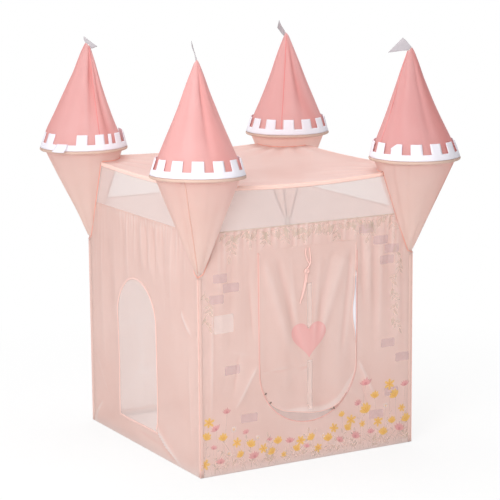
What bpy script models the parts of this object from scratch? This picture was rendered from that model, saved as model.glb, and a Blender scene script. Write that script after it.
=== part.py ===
"""A children's castle play tent: four cloth walls under a row of net, and a hooped tower on each corner."""

import math

import bmesh
import bpy
from mathutils import Vector

# The whole tent
BASE_WIDTH = 0.950
SEAM_HEIGHT = 0.931
ROOF_HEIGHT = 1.109
HOOP_HEIGHT = 1.144
TOWER_HEIGHT = 1.563
CORNER_INSET = 0.012
CLOTH = 0.0015
NET = 0.0010
CLEARANCE = 0.0003
OVERRUN = 0.020
WELD = 0.00001

# Rods and uprights
ROD_RADIUS = 0.0040
UPRIGHT_RADIUS = 0.00475
FERRULE_WALL = 0.0008
FERRULE_LENGTH = 0.060
ROD_SIDES = 10
FLOOR_GAP = 0.0005

# Corner sockets
SOCKET_WALL = 0.0020
ARM_LENGTH = 0.040
POST_HEIGHT = 0.045
SOCKET_FLOOR = 0.0030

# Hems
HEM_HEIGHT = 0.028
HEM_BEND = 0.0030
HEM_END_GAP = 0.003

# Towers
SKIRT_FOOT_HEIGHT = 0.775
SKIRT_FOOT_RADIUS = 0.012
SKIRT_TOP_RADIUS = 0.157
HOOP_RADIUS = 0.1717
HOOP_TUBE_RADIUS = 0.0040
BRIM_LIP = 0.010
CONE_BASE_RADIUS = 0.1710
CAP_RADIUS = 0.0070
CAP_SKIRT = 0.012
CAP_CROWN = 0.0030
CAP_SLACK = 0.0003
TOWER_SIDES = 24
CONE_FOLD_DEPTH = 0.0025
CONE_FOLDS = 3

# Battlements
MERLONS = 13
MERLON_SHARE = 0.577
BAND_RADIUS = 0.1745
BAND_STRIP = 0.023
MERLON_HEIGHT = 0.039
BAND_LEAN_SHARE = 0.76

# Pennants
FLAG_HEIGHT = 0.053
FLAG_LENGTH = 0.083
FLAG_TIP = 0.004
FLAG_WAVE = 0.004

# Door
DOOR_WIDTH = 0.433
DOOR_TOP = 0.845
DOOR_BOTTOM = 0.158
FLAP_BOTTOM = 0.183
FLAP_SIDE_GAP = 0.003
DOOR_ROLL_RADIUS = 0.0020
FLAP_FOLD_DEPTH = 0.006
FLAP_FOLD_PITCH = 0.130
HEART_WIDTH = 0.152
HEART_HEIGHT = 0.141
HEART_MIDDLE = 0.475
TIE_WIDTH = 0.011
TIE_THICKNESS = 0.0010
TIE_LENGTH = 0.222
TIE_SWAY = 0.038
TIE_TOP_GAP = 0.0025
TIE_STAND_OFF = 0.0015

# Side windows
WINDOW_WIDTH = 0.330
WINDOW_FOOT = 0.092
WINDOW_TOP = 0.672
WINDOW_PLACE = 0.045

# How deep the roof's edges hang between the towers
ROOF_SAG_FRONT = 0.024
ROOF_SAG_BACK = 0.015
ROOF_SAG_SIDE = 0.015

# Main folds of the walls
PLEAT_DEPTH = 0.0045
PLEAT_PITCH = 0.056
PLEAT_START = 0.230
WALL_FOLD_DEPTH = 0.0050
WALL_FOLD_PITCH = 0.210
CORNER_CREASE_DEPTH = 0.006
CORNER_CREASE_WIDTH = 0.035
EDGE_EASE = 0.070

HALF = BASE_WIDTH / 2 - CLOTH / 2
UPRIGHT_PLACE = BASE_WIDTH / 2 - CORNER_INSET
FERRULE_RADIUS = ROD_RADIUS + CLEARANCE + FERRULE_WALL
HEM_MIDDLE = FLOOR_GAP + CLOTH / 2
ROD_AXIS = FLOOR_GAP + CLOTH + CLEARANCE + FERRULE_RADIUS
ROD_DEPTH = HALF - UPRIGHT_PLACE
HEM_DEPTH = ROD_DEPTH + FERRULE_RADIUS + CLEARANCE + CLOTH / 2
POST_RADIUS = UPRIGHT_RADIUS + CLEARANCE + SOCKET_WALL
ROD_STOP = POST_RADIUS + SOCKET_WALL
UPRIGHT_JOINT = TOWER_HEIGHT / 2
TUNNEL_RADIUS = HOOP_TUBE_RADIUS + CLEARANCE + CLOTH / 2
BRIM_TOP = HOOP_HEIGHT + TUNNEL_RADIUS + CLOTH / 2
CONE_FOOT = BRIM_TOP + CLEARANCE + CLOTH / 2
DOME_RADIUS = CAP_RADIUS + CLEARANCE + CAP_SLACK + CLOTH / 2
DOME_MIDDLE = TOWER_HEIGHT - DOME_RADIUS
CONE_SLOPE = (CONE_BASE_RADIUS - DOME_RADIUS) / (DOME_MIDDLE - CONE_FOOT)
FLAP_RADIUS = DOOR_WIDTH / 2 - FLAP_SIDE_GAP
HINGE_HEIGHT = DOOR_TOP - CLEARANCE - DOOR_ROLL_RADIUS

# Both in turn, a quarter turn apart
SIDES = ("front", "right", "back", "left")
CORNERS = ("front_left", "front_right", "back_right", "back_left")
QUARTER = math.pi / 2

# The cloth pushes two of the hoops off their uprights, outward, and lifts the front of the nearest one.
HOOP_LEANS = {"front_left": 0.0, "front_right": 0.022, "back_right": 0.0, "back_left": 0.029}
HOOP_TILT_SHARES = {"front_left": 0.045, "front_right": 0.0, "back_right": 0.0, "back_left": 0.0}

# Each pennant's heading, then how far it leans along itself and how far it rolls over, in degrees
PENNANTS = {
    "front_left": (62, 8, 18),
    "front_right": (151, 45, 0),
    "back_right": (70, 5, 20),
    "back_left": (22, 22, 0),
}

for old in list(bpy.data.objects):
    bpy.data.objects.remove(old, do_unlink=True)

tent = bpy.data.collections.new("castle_play_tent")
clearances = bpy.data.collections.new("clearances")
clearances.hide_render = True
bpy.context.scene.collection.children.link(tent)
bpy.context.scene.collection.children.link(clearances)


def finish(name, colour, roughness, metallic=0.0):
    material = bpy.data.materials.new(name)
    material.use_nodes = True
    shader = material.node_tree.nodes["Principled BSDF"]
    shader.inputs["Base Color"].default_value = (*colour, 1)
    shader.inputs["Roughness"].default_value = roughness
    shader.inputs["Metallic"].default_value = metallic
    return material


def place_object(name, mesh, material, parent, location=(0, 0, 0), turn=(0, 0, 0)):
    obj = bpy.data.objects.new(name, mesh)
    tent.objects.link(obj)
    mesh.materials.append(material)
    obj.parent = parent
    obj.location = location
    obj.rotation_euler = turn
    return obj


def frame(name, location, turn):
    """An empty that pieces hang from: a side of the tent, a corner, or a joint."""
    empty = bpy.data.objects.new(name, None)
    tent.objects.link(empty)
    empty.location = location
    empty.rotation_euler.z = turn
    return empty


def make_cutter(obj):
    """Turns an object into a helper that only cuts, fills or trims others."""
    tent.objects.unlink(obj)
    clearances.objects.link(obj)
    obj.hide_render = True
    obj.display_type = "WIRE"
    return obj


def boolean(obj, other, operation):
    modifier = obj.modifiers.new(f"{operation.lower()} {other.name}", "BOOLEAN")
    modifier.object = other
    modifier.operation = operation


def thicken(obj, thickness):
    modifier = obj.modifiers.new("cloth thickness", "SOLIDIFY")
    modifier.thickness = thickness
    modifier.offset = 0
    modifier.use_even_offset = True


def sheet(name, columns, rows, place, thickness, material, parent, gap=None):
    """Cloth or net: a grid whose points place(s, t) lays out, s and t running from 0 to 1. gap(s, t) drops faces."""
    mesh = bpy.data.meshes.new(name)
    grid = bmesh.new()
    bmesh.ops.create_grid(grid, x_segments=columns, y_segments=rows, size=1)
    if gap:
        middles = {face: face.calc_center_median() for face in grid.faces}
        dropped = [face for face, at in middles.items() if gap((at.x + 1) / 2, (at.y + 1) / 2)]
        bmesh.ops.delete(grid, geom=dropped, context="FACES")
    for corner in grid.verts:
        corner.co = Vector(place((corner.co.x + 1) / 2, (corner.co.y + 1) / 2))
    bmesh.ops.remove_doubles(grid, verts=grid.verts, dist=WELD)
    bmesh.ops.recalc_face_normals(grid, faces=grid.faces)
    grid.to_mesh(mesh)
    grid.free()
    obj = place_object(name, mesh, material, parent)
    thicken(obj, thickness)
    return obj


def turned(name, profile, sides, material, parent, location=(0, 0, 0), turn=(0, 0, 0)):
    """A round piece: its profile, as (radius, height) from the top down its outer side, turned about Z."""
    mesh = bpy.data.meshes.new(name)
    points = [(radius, 0, height) for radius, height in profile]
    mesh.from_pydata(points, [(i, i + 1) for i in range(len(points) - 1)], [])
    obj = place_object(name, mesh, material, parent, location, turn)
    screw = obj.modifiers.new("turn", "SCREW")
    screw.steps = sides
    screw.render_steps = sides
    screw.use_merge_vertices = True
    screw.merge_threshold = WELD
    return obj


def box(name, low, high, material, parent):
    mesh = bpy.data.meshes.new(name)
    cube = bmesh.new()
    bmesh.ops.create_cube(cube, size=1)
    low, high = Vector(low), Vector(high)
    for corner in cube.verts:
        corner.co = (low + high) / 2 + corner.co * (high - low)
    cube.to_mesh(mesh)
    cube.free()
    return place_object(name, mesh, material, parent)


def upright_outline(name, points, depth, material, parent):
    """A flat outline, as (along the wall, height), given depth across the wall and made a solid."""
    curve = bpy.data.curves.new(name, "CURVE")
    curve.dimensions = "2D"
    curve.fill_mode = "BOTH"
    curve.extrude = depth / 2
    spline = curve.splines.new("POLY")
    spline.points.add(len(points) - 1)
    for point, (along, height) in zip(spline.points, points):
        point.co = (along, height, 0, 1)
    spline.use_cyclic_u = True
    drawn = bpy.data.objects.new(name + " outline", curve)
    tent.objects.link(drawn)
    mesh = bpy.data.meshes.new_from_object(drawn.evaluated_get(bpy.context.evaluated_depsgraph_get()))
    bpy.data.objects.remove(drawn, do_unlink=True)
    solid = bmesh.new()
    solid.from_mesh(mesh)
    bmesh.ops.remove_doubles(solid, verts=solid.verts, dist=WELD)
    bmesh.ops.recalc_face_normals(solid, faces=solid.faces)
    solid.to_mesh(mesh)
    solid.free()
    return place_object(name, mesh, material, parent, turn=(QUARTER, 0, 0))


def ease(value):
    """0 below 0, 1 above 1, and a smooth rise between."""
    value = min(max(value, 0), 1)
    return value * value * (3 - 2 * value)


cloth_peach = finish("peach cloth", (0.83, 0.58, 0.52), 0.85)
cloth_skirt = finish("sheer peach cloth", (0.85, 0.60, 0.52), 0.8)
cloth_pink = finish("pink cloth", (0.87, 0.38, 0.36), 0.8)
cloth_white = finish("white cloth", (0.88, 0.86, 0.90), 0.8)
cloth_grey = finish("grey white cloth", (0.68, 0.68, 0.68), 0.8)
cloth_heart = finish("sheer pink cloth", (0.85, 0.42, 0.44), 0.8)
net_white = finish("white net", (0.80, 0.74, 0.72), 0.9)
binding = finish("pink ribbon", (0.86, 0.45, 0.42), 0.7)
plastic_white = finish("white plastic", (0.80, 0.80, 0.78), 0.45)
plastic_cream = finish("cream plastic", (0.86, 0.75, 0.66), 0.45)
fibreglass = finish("white fibreglass", (0.75, 0.74, 0.70), 0.35)

sides = {name: frame(f"side_{name}", (0, 0, 0), k * QUARTER) for k, name in enumerate(SIDES)}


def corner_frame(name, quarter_turns):
    place = Vector((-UPRIGHT_PLACE, -UPRIGHT_PLACE, 0))
    turn = quarter_turns * QUARTER
    at = (
        place.x * math.cos(turn) - place.y * math.sin(turn),
        place.x * math.sin(turn) + place.y * math.cos(turn),
        0,
    )
    return frame(f"corner_{name}", at, turn)


corners = {name: corner_frame(name, k) for k, name in enumerate(CORNERS)}


# Corner sockets: each takes an upright and the rods of two sides.
def base_corner(corner):
    parent = corners[corner]
    width = 2 * ROD_AXIS
    piece = box(
        f"base_corner_{corner}",
        (-ROD_AXIS, -ROD_AXIS, 0),
        (ROD_AXIS, ROD_AXIS, width),
        plastic_white,
        parent,
    )
    for axis in ("x", "y"):
        reach = (ARM_LENGTH, ROD_AXIS) if axis == "x" else (ROD_AXIS, ARM_LENGTH)
        start = (0, -ROD_AXIS) if axis == "x" else (-ROD_AXIS, 0)
        arm = box(f"{corner} arm {axis}", (*start, 0), (*reach, width), plastic_white, parent)
        boolean(piece, make_cutter(arm), "UNION")
    post = turned(
        f"{corner} post",
        [(0, POST_HEIGHT), (POST_RADIUS, POST_HEIGHT), (POST_RADIUS, ROD_AXIS), (0, ROD_AXIS)],
        ROD_SIDES,
        plastic_white,
        parent,
    )
    boolean(piece, make_cutter(post), "UNION")
    upright_bore = UPRIGHT_RADIUS + CLEARANCE
    rod_bore = ROD_RADIUS + CLEARANCE
    bores = {
        "upright bore": (upright_bore, SOCKET_FLOOR, POST_HEIGHT, (0, 0, 0), (0, 0, 0)),
        "rod bore x": (rod_bore, ROD_STOP, ARM_LENGTH, (0, 0, ROD_AXIS), (0, QUARTER, 0)),
        "rod bore y": (rod_bore, ROD_STOP, ARM_LENGTH, (0, 0, ROD_AXIS), (-QUARTER, 0, 0)),
    }
    for name, (radius, start, end, place, turn) in bores.items():
        end = end + OVERRUN
        profile = [(0, end), (radius, end), (radius, start), (0, start)]
        bore = turned(f"{corner} {name}", profile, ROD_SIDES, plastic_white, parent, place, turn)
        boolean(piece, make_cutter(bore), "DIFFERENCE")


# Hem rods: two to a side, joined in a ferrule at the middle.
def base_rods(side):
    start = UPRIGHT_PLACE - ROD_STOP - CLEARANCE
    bore = ROD_RADIUS + CLEARANCE
    half_ferrule = FERRULE_LENGTH / 2
    profile = [
        (0, 0),
        (bore, 0),
        (bore, half_ferrule),
        (FERRULE_RADIUS, half_ferrule),
        (FERRULE_RADIUS, -half_ferrule),
        (ROD_RADIUS, -half_ferrule),
        (ROD_RADIUS, -start),
        (0, -start),
    ]
    place = (0, -UPRIGHT_PLACE, ROD_AXIS)
    along = (0, QUARTER, 0)
    turned(f"base_rod_{side}_a", profile, ROD_SIDES, fibreglass, sides[side], place, along)
    plain = [(0, start), (ROD_RADIUS, start), (ROD_RADIUS, CLEARANCE), (0, CLEARANCE)]
    turned(f"base_rod_{side}_b", plain, ROD_SIDES, fibreglass, sides[side], place, along)


# Uprights: a lower half with a ferrule, an upper half, and a cap inside the tower's tip.
def upright(corner):
    parent = corners[corner]
    half_ferrule = FERRULE_LENGTH / 2
    bore = UPRIGHT_RADIUS + CLEARANCE
    outer = bore + FERRULE_WALL
    foot = SOCKET_FLOOR + CLEARANCE
    lower = [
        (0, UPRIGHT_JOINT),
        (bore, UPRIGHT_JOINT),
        (bore, UPRIGHT_JOINT + half_ferrule),
        (outer, UPRIGHT_JOINT + half_ferrule),
        (outer, UPRIGHT_JOINT - half_ferrule),
        (UPRIGHT_RADIUS, UPRIGHT_JOINT - half_ferrule),
        (UPRIGHT_RADIUS, foot),
        (0, foot),
    ]
    turned(f"upright_lower_{corner}", lower, ROD_SIDES, fibreglass, parent)
    crown = DOME_MIDDLE + CAP_RADIUS - CAP_CROWN
    top = crown - CLEARANCE
    joint = UPRIGHT_JOINT + CLEARANCE
    upper = [(0, top), (UPRIGHT_RADIUS, top), (UPRIGHT_RADIUS, joint), (0, joint)]
    turned(f"upright_upper_{corner}", upper, ROD_SIDES, fibreglass, parent)
    cap = [
        (CAP_RADIUS * math.cos(angle), DOME_MIDDLE + CAP_RADIUS * math.sin(angle))
        for angle in (QUARTER, QUARTER * 2 / 3, QUARTER / 3, 0)
    ]
    cap[0] = (0, DOME_MIDDLE + CAP_RADIUS)
    cap += [(CAP_RADIUS, DOME_MIDDLE - CAP_SKIRT), (bore, DOME_MIDDLE - CAP_SKIRT), (bore, crown), (0, crown)]
    turned(f"tip_cap_{corner}", cap, ROD_SIDES, plastic_white, parent)


def settled(corner, radius, angle, height):
    """A point of a tower about its upright, with the lean and tilt that the cloth gives its hoop."""
    outward = Vector((-1, -1, 0)).normalized()
    point = Vector((radius * math.cos(angle), radius * math.sin(angle), height))
    below = (height - SKIRT_FOOT_HEIGHT) / (HOOP_HEIGHT - TUNNEL_RADIUS - SKIRT_FOOT_HEIGHT)
    above = (DOME_MIDDLE - height) / (DOME_MIDDLE - CONE_FOOT)
    share = min(max(min(below, above), 0), 1)
    lift = HOOP_TILT_SHARES[corner] * point.dot(outward)
    point += HOOP_LEANS[corner] * share * outward
    point.z += lift
    return point


def around(profile, corner, shape=None):
    """A place function for a sheet that runs round a tower: t climbs the profile's points."""

    def place(s, t):
        radius, height = profile[round(t * (len(profile) - 1))]
        angle = s * 2 * math.pi
        if shape:
            radius += shape(angle, t)
        return settled(corner, radius, angle, height)

    return place


# Tower skirts: an upside-down cone whose brim is a tunnel, open inward, that the hoop lies in.
def tower_skirt(corner):
    low, high = HOOP_HEIGHT - TUNNEL_RADIUS, HOOP_HEIGHT + TUNNEL_RADIUS
    profile = [
        (SKIRT_FOOT_RADIUS, SKIRT_FOOT_HEIGHT),
        (SKIRT_TOP_RADIUS, low),
        (HOOP_RADIUS + TUNNEL_RADIUS, low),
        (HOOP_RADIUS + TUNNEL_RADIUS, high),
        (HOOP_RADIUS - BRIM_LIP, high),
    ]
    sheet(
        f"tower_skirt_{corner}",
        TOWER_SIDES,
        len(profile) - 1,
        around(profile, corner),
        CLOTH,
        cloth_skirt,
        corners[corner],
    )


def skirt_clearance(corner):
    """The room that a skirt takes out of the walls, the net and the roof that meet it."""
    slope = math.atan2(SKIRT_TOP_RADIUS - SKIRT_FOOT_RADIUS, HOOP_HEIGHT - TUNNEL_RADIUS - SKIRT_FOOT_HEIGHT)
    room = (CLOTH / 2 + CLEARANCE) / math.cos(slope) / math.cos(math.pi / TOWER_SIDES) + CLEARANCE
    foot = SKIRT_FOOT_HEIGHT - CLOTH
    top = HOOP_HEIGHT - TUNNEL_RADIUS
    profile = [(0, foot), (SKIRT_FOOT_RADIUS + room, foot), (SKIRT_TOP_RADIUS + room, top), (0, top)]
    obj = sheet(
        f"skirt clearance {corner}",
        TOWER_SIDES,
        len(profile) - 1,
        around(profile, corner),
        CLOTH,
        cloth_skirt,
        corners[corner],
    )
    obj.modifiers.clear()
    return make_cutter(obj)


# Hoops: one round tube in each brim.
def hoop(corner):
    bpy.ops.mesh.primitive_torus_add(
        major_segments=TOWER_SIDES,
        minor_segments=6,
        major_radius=HOOP_RADIUS,
        minor_radius=HOOP_TUBE_RADIUS,
    )
    ring = bpy.context.object
    for point in ring.data.vertices:
        radius = math.hypot(point.co.x, point.co.y)
        angle = math.atan2(point.co.y, point.co.x)
        lifted = settled(corner, radius, angle, HOOP_HEIGHT)
        point.co = (lifted.x, lifted.y, lifted.z + point.co.z)
    obj = place_object(f"hoop_{corner}", ring.data, plastic_cream, corners[corner])
    bpy.data.objects.remove(ring, do_unlink=True)
    return obj


# Tower roofs: a pointed cone over the brim, drawn over the cap at its tip.
def tower_roof(corner):
    slope = math.atan(CONE_SLOPE)
    shoulder = (DOME_RADIUS * math.cos(slope), DOME_MIDDLE + DOME_RADIUS * math.sin(slope))
    steps = 3
    profile = [
        (
            CONE_BASE_RADIUS + (shoulder[0] - CONE_BASE_RADIUS) * k / steps,
            CONE_FOOT + (shoulder[1] - CONE_FOOT) * k / steps,
        )
        for k in range(steps + 1)
    ]
    bend = (slope + QUARTER) / 2
    profile.append((DOME_RADIUS * math.cos(bend), DOME_MIDDLE + DOME_RADIUS * math.sin(bend)))
    profile.append((0, TOWER_HEIGHT))
    turn = CORNERS.index(corner)

    def folds(angle, t):
        if t == 0 or t > (steps - 0.5) / (len(profile) - 1):
            return 0
        return CONE_FOLD_DEPTH * math.cos(CONE_FOLDS * angle + turn)

    sheet(
        f"tower_roof_{corner}",
        TOWER_SIDES,
        len(profile) - 1,
        around(profile, corner, folds),
        CLOTH,
        cloth_pink,
        corners[corner],
    )


# Battlement bands: a strip round the roof's foot with a row of merlons on it.
def battlement(corner):
    lean = BAND_LEAN_SHARE * CONE_SLOPE
    heights = (0, BAND_STRIP, BAND_STRIP + MERLON_HEIGHT)

    def place(s, t):
        pair = s * MERLONS
        whole = math.floor(pair + WELD)
        within = MERLON_SHARE if pair - whole > 1 / 4 else 0
        height = heights[round(t * 2)]
        angle = (whole + within) / MERLONS * 2 * math.pi
        return settled(corner, BAND_RADIUS - lean * height, angle, CONE_FOOT + height)

    def between(s, t):
        return t > 1 / 2 and (s * MERLONS) % 1 > 1 / 2

    sheet(f"battlement_{corner}", 2 * MERLONS, 2, place, CLOTH, cloth_white, corners[corner], between)


# Pennants: each turns about its tower's tip.
def pennant(corner):
    heading, lean, roll = PENNANTS[corner]
    joint = frame(f"joint_flag_{corner}", (0, 0, TOWER_HEIGHT + CLOTH / 2 + 2 * CLEARANCE), 0)
    joint.parent = corners[corner]
    joint.rotation_euler.z = math.radians(heading) - corners[corner].rotation_euler.z
    lean, roll = math.radians(lean), math.radians(roll)

    def place(s, t):
        along = FLAG_LENGTH * s
        low = (FLAG_HEIGHT - FLAG_TIP) * s
        up = low + (FLAG_HEIGHT - low) * t
        out = along * math.cos(lean) + up * math.sin(lean)
        rise = up * math.cos(lean) - along * math.sin(lean)
        aside = FLAG_WAVE * math.sin(math.pi * s)
        return out, aside + rise * math.sin(roll), rise * math.cos(roll)

    sheet(f"flag_{corner}", 4, 2, place, CLOTH, cloth_grey, joint)


def corner_ease(along):
    """Folds die away towards a wall's corners."""
    return ease((HALF - abs(along)) / EDGE_EASE)


def front_fold(along, height):
    """Pleats under the seam, strongest right of the door, and a slack belly below them."""
    drop = SEAM_HEIGHT - height
    pleats = ease(drop / EDGE_EASE) * (1 - ease(drop / SEAM_HEIGHT) / 2)
    right = ease((along - PLEAT_START + PLEAT_PITCH) / PLEAT_PITCH)
    wave = math.cos(2 * math.pi * (along - PLEAT_START) / PLEAT_PITCH)
    slack = math.cos(2 * math.pi * along / WALL_FOLD_PITCH + 1)
    foot = ease((height - HEM_HEIGHT) / EDGE_EASE)
    return corner_ease(along) * foot * pleats * (PLEAT_DEPTH * right * wave + PLEAT_DEPTH / 2 * slack)


def side_fold(along, height):
    """Soft upright pleats and one crease that runs down beside the front corner."""
    drop = SEAM_HEIGHT - height
    foot = ease((height - HEM_HEIGHT) / EDGE_EASE)
    wave = math.cos(2 * math.pi * along / WALL_FOLD_PITCH) * ease(drop / EDGE_EASE)
    crease_at = HALF - 2 * EDGE_EASE + EDGE_EASE * ease(height / SEAM_HEIGHT)
    crease = math.exp(-(((along - crease_at) / CORNER_CREASE_WIDTH) ** 2)) * ease(drop / SEAM_HEIGHT)
    return corner_ease(along) * foot * (WALL_FOLD_DEPTH * wave - CORNER_CREASE_DEPTH * crease)


FOLDS = {"front": front_fold, "back": side_fold, "left": side_fold, "right": side_fold}
ROW_SHARES = (0.065, 0.19, 0.33, 0.47, 0.61, 0.74, 0.85, 0.94, 1)


def wall_columns(side):
    """Where the front wall's columns of points stand: closest together in its pleats."""
    if side != "front":
        return [HALF * (2 * k / 16 - 1) for k in range(17)]
    door = DOOR_WIDTH / 2
    left = [-HALF + (HALF - door) * k / 6 for k in range(6)]
    middle = [-door + 2 * door * k / 6 for k in range(6)]
    right = [door + (HALF - door) * k / 12 for k in range(13)]
    return left + middle + right


# Walls: each hangs from the net's seam and folds up round its rods at the foot.
def wall(side):
    top = SEAM_HEIGHT - CLEARANCE / 2
    inside = HEM_MIDDLE + HEM_BEND
    hem = [
        (HEM_DEPTH, HEM_HEIGHT),
        (HEM_DEPTH, inside),
        (HEM_DEPTH - HEM_BEND, HEM_MIDDLE),
        (HEM_BEND, HEM_MIDDLE),
        (0, inside),
    ]
    rows = hem + [(0, top * share) for share in ROW_SHARES]
    columns = wall_columns(side)
    short = 0 if side in ("front", "back") else CLOTH + CLEARANCE
    reach = BASE_WIDTH / 2 - short

    def place(s, t):
        along = columns[round(s * (len(columns) - 1))] * reach / HALF
        depth, height = rows[round(t * (len(rows) - 1))]
        fold = FOLDS[side](along, height) if depth == 0 else 0
        return along, depth - HALF - fold, height

    obj = sheet(
        f"wall_{side}", len(columns) - 1, len(rows) - 1, place, CLOTH, cloth_peach, sides[side]
    )
    for end in (-1, 1):
        boolean(obj, hem_clearance(side, end), "DIFFERENCE")
    for name in corners_of(side):
        boolean(obj, skirt_clearances[name], "DIFFERENCE")
    return obj


def corners_of(side):
    k = SIDES.index(side)
    return CORNERS[k], CORNERS[(k + 1) % len(CORNERS)]


def hem_clearance(side, end):
    """The room that a corner socket and the next wall take out of one end of a hem; end is -1 or 1."""
    inner = end * (UPRIGHT_PLACE - ARM_LENGTH - HEM_END_GAP)
    outer = end * (BASE_WIDTH / 2 + OVERRUN)
    obj = box(
        f"hem clearance {side} {end}",
        (min(inner, outer), CLOTH / 2 + CLEARANCE - HALF, -OVERRUN),
        (max(inner, outer), HEM_DEPTH + OVERRUN - HALF, HEM_HEIGHT + OVERRUN),
        cloth_peach,
        sides[side],
    )
    return make_cutter(obj)


# Net panels between the walls and the roof
SAGS = {"front": ROOF_SAG_FRONT, "back": ROOF_SAG_BACK, "left": ROOF_SAG_SIDE, "right": ROOF_SAG_SIDE}
NET_COLUMNS = 10


def hang(share):
    """How much of its sag an edge has at this share of its length."""
    return 4 * share * (1 - share)


def net_panel(side):
    low = SEAM_HEIGHT + CLEARANCE / 2
    reach = HALF if side in ("front", "back") else HALF - CLOTH - CLEARANCE

    def place(s, t):
        share = 1 / 2 + (s - 1 / 2) * reach / HALF
        high = ROOF_HEIGHT - SAGS[side] * hang(share) - CLOTH / 2 - 2 * CLEARANCE
        return reach * (2 * s - 1), -HALF, low + (high - low) * t

    obj = sheet(f"mesh_{side}", NET_COLUMNS, 2, place, NET, net_white, sides[side])
    for name in corners_of(side):
        boolean(obj, skirt_clearances[name], "DIFFERENCE")


# Roof: one square of cloth that hangs between the four towers.
def roof_panel():
    def place(s, t):
        across = ROOF_SAG_SIDE * hang(t)
        along = (ROOF_SAG_FRONT + (ROOF_SAG_BACK - ROOF_SAG_FRONT) * t) * hang(s)
        reach = BASE_WIDTH / 2
        return reach * (2 * s - 1), reach * (2 * t - 1), ROOF_HEIGHT - across - along

    obj = sheet("roof_panel", NET_COLUMNS, NET_COLUMNS, place, CLOTH, cloth_peach, None)
    for cutter in skirt_clearances.values():
        boolean(obj, cutter, "DIFFERENCE")


# Door: a U-shaped flap in the front wall that hangs from its rolled top seam.
def door_outline(half_width, bottom, top):
    points = [(-half_width, top), (half_width, top)]
    middle = bottom + half_width
    for k in range(17):
        angle = -math.pi * k / 16
        points.append((half_width * math.cos(angle), middle + half_width * math.sin(angle)))
    return points


def heart_outline(width, height):
    """A plain heart about its middle, by the usual curve."""
    points = []
    for k in range(24):
        angle = 2 * math.pi * k / 24
        across = math.sin(angle) ** 3
        up = 13 * math.cos(angle) - 5 * math.cos(2 * angle) - 2 * math.cos(3 * angle) - math.cos(4 * angle)
        points.append((width / 2 * across, height / 29 * (up + 2.5)))
    return points


def lowered(points, height):
    return [(along, height + up) for along, up in points]


def flap_fold(along, height):
    """The flap's broad folds, which open towards its foot."""
    drop = ease((HINGE_HEIGHT - height) / (HINGE_HEIGHT - FLAP_BOTTOM))
    return FLAP_FOLD_DEPTH * drop * math.cos(2 * math.pi * along / FLAP_FOLD_PITCH)


def flap_sheet(name, material, columns, rows, reach, low, high, top=0):
    def place(s, t):
        along = reach * (2 * s - 1)
        height = low + (high - low) * t
        return along, -HALF - flap_fold(along, height) - top, height

    return sheet(name, columns, rows, place, CLOTH, material, sides["front"])


def door():
    opening = door_outline(DOOR_WIDTH / 2, DOOR_BOTTOM, DOOR_TOP)
    depth = 2 * OVERRUN
    room = upright_outline("door opening", opening, depth, cloth_peach, sides["front"])
    room.location.y = -HALF
    boolean(walls["front"], make_cutter(room), "DIFFERENCE")
    outline = door_outline(FLAP_RADIUS, FLAP_BOTTOM, HINGE_HEIGHT)
    flap_shape = upright_outline("flap shape", outline, depth, cloth_peach, sides["front"])
    flap_shape.location.y = -HALF
    flap = flap_sheet(
        "door_flap", cloth_peach, 14, 8, FLAP_RADIUS + CLEARANCE, FLAP_BOTTOM - CLEARANCE, HINGE_HEIGHT + CLEARANCE
    )
    boolean(flap, make_cutter(flap_shape), "INTERSECT")
    roll_half = FLAP_RADIUS - CLEARANCE
    roll = turned(
        "rolled seam",
        [
            (0, roll_half),
            (DOOR_ROLL_RADIUS, roll_half),
            (DOOR_ROLL_RADIUS, -roll_half),
            (0, -roll_half),
        ],
        ROD_SIDES,
        cloth_peach,
        sides["front"],
        (0, -HALF, HINGE_HEIGHT),
        (0, QUARTER, 0),
    )
    boolean(flap, make_cutter(roll), "UNION")
    hole = lowered(heart_outline(HEART_WIDTH, HEART_HEIGHT), HEART_MIDDLE)
    hole_shape = upright_outline("heart opening", hole, depth, cloth_heart, sides["front"])
    hole_shape.location.y = -HALF
    boolean(flap, make_cutter(hole_shape), "DIFFERENCE")
    inner = heart_outline(HEART_WIDTH - 2 * CLEARANCE, HEART_HEIGHT - 2 * CLEARANCE)
    heart_shape = upright_outline("heart shape", lowered(inner, HEART_MIDDLE), depth, cloth_heart, sides["front"])
    heart_shape.location.y = -HALF
    reach = 2 * FLAP_FOLD_PITCH / 2
    heart = flap_sheet(
        "door_heart",
        cloth_heart,
        8,
        3,
        reach,
        HEART_MIDDLE - HEART_HEIGHT,
        HEART_MIDDLE + HEART_HEIGHT,
    )
    boolean(heart, make_cutter(heart_shape), "INTERSECT")


# Door tie: a ribbon that hangs before the flap and goes round it when it is rolled up.
def door_tie():
    start = HINGE_HEIGHT - DOOR_ROLL_RADIUS - TIE_TOP_GAP
    rest = (CLOTH + TIE_THICKNESS) / 2 + CLEARANCE

    def place(s, t):
        height = start - TIE_LENGTH * t
        along = -TIE_SWAY * ease(t) + TIE_WIDTH * (s - 1 / 2)
        fold = flap_fold(along, height)
        return along, -HALF - fold - rest - TIE_STAND_OFF * t, height

    sheet("door_tie", 1, 6, place, TIE_THICKNESS, binding, sides["front"])


# Side windows: an arched opening, and a net that fills it.
def arch_outline(width, foot, top, place):
    spring = top - width / 2
    points = [(place - width / 2, foot), (place + width / 2, foot)]
    for k in range(13):
        angle = math.pi * k / 12
        points.append((place + width / 2 * math.cos(angle), spring + width / 2 * math.sin(angle)))
    return points


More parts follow.
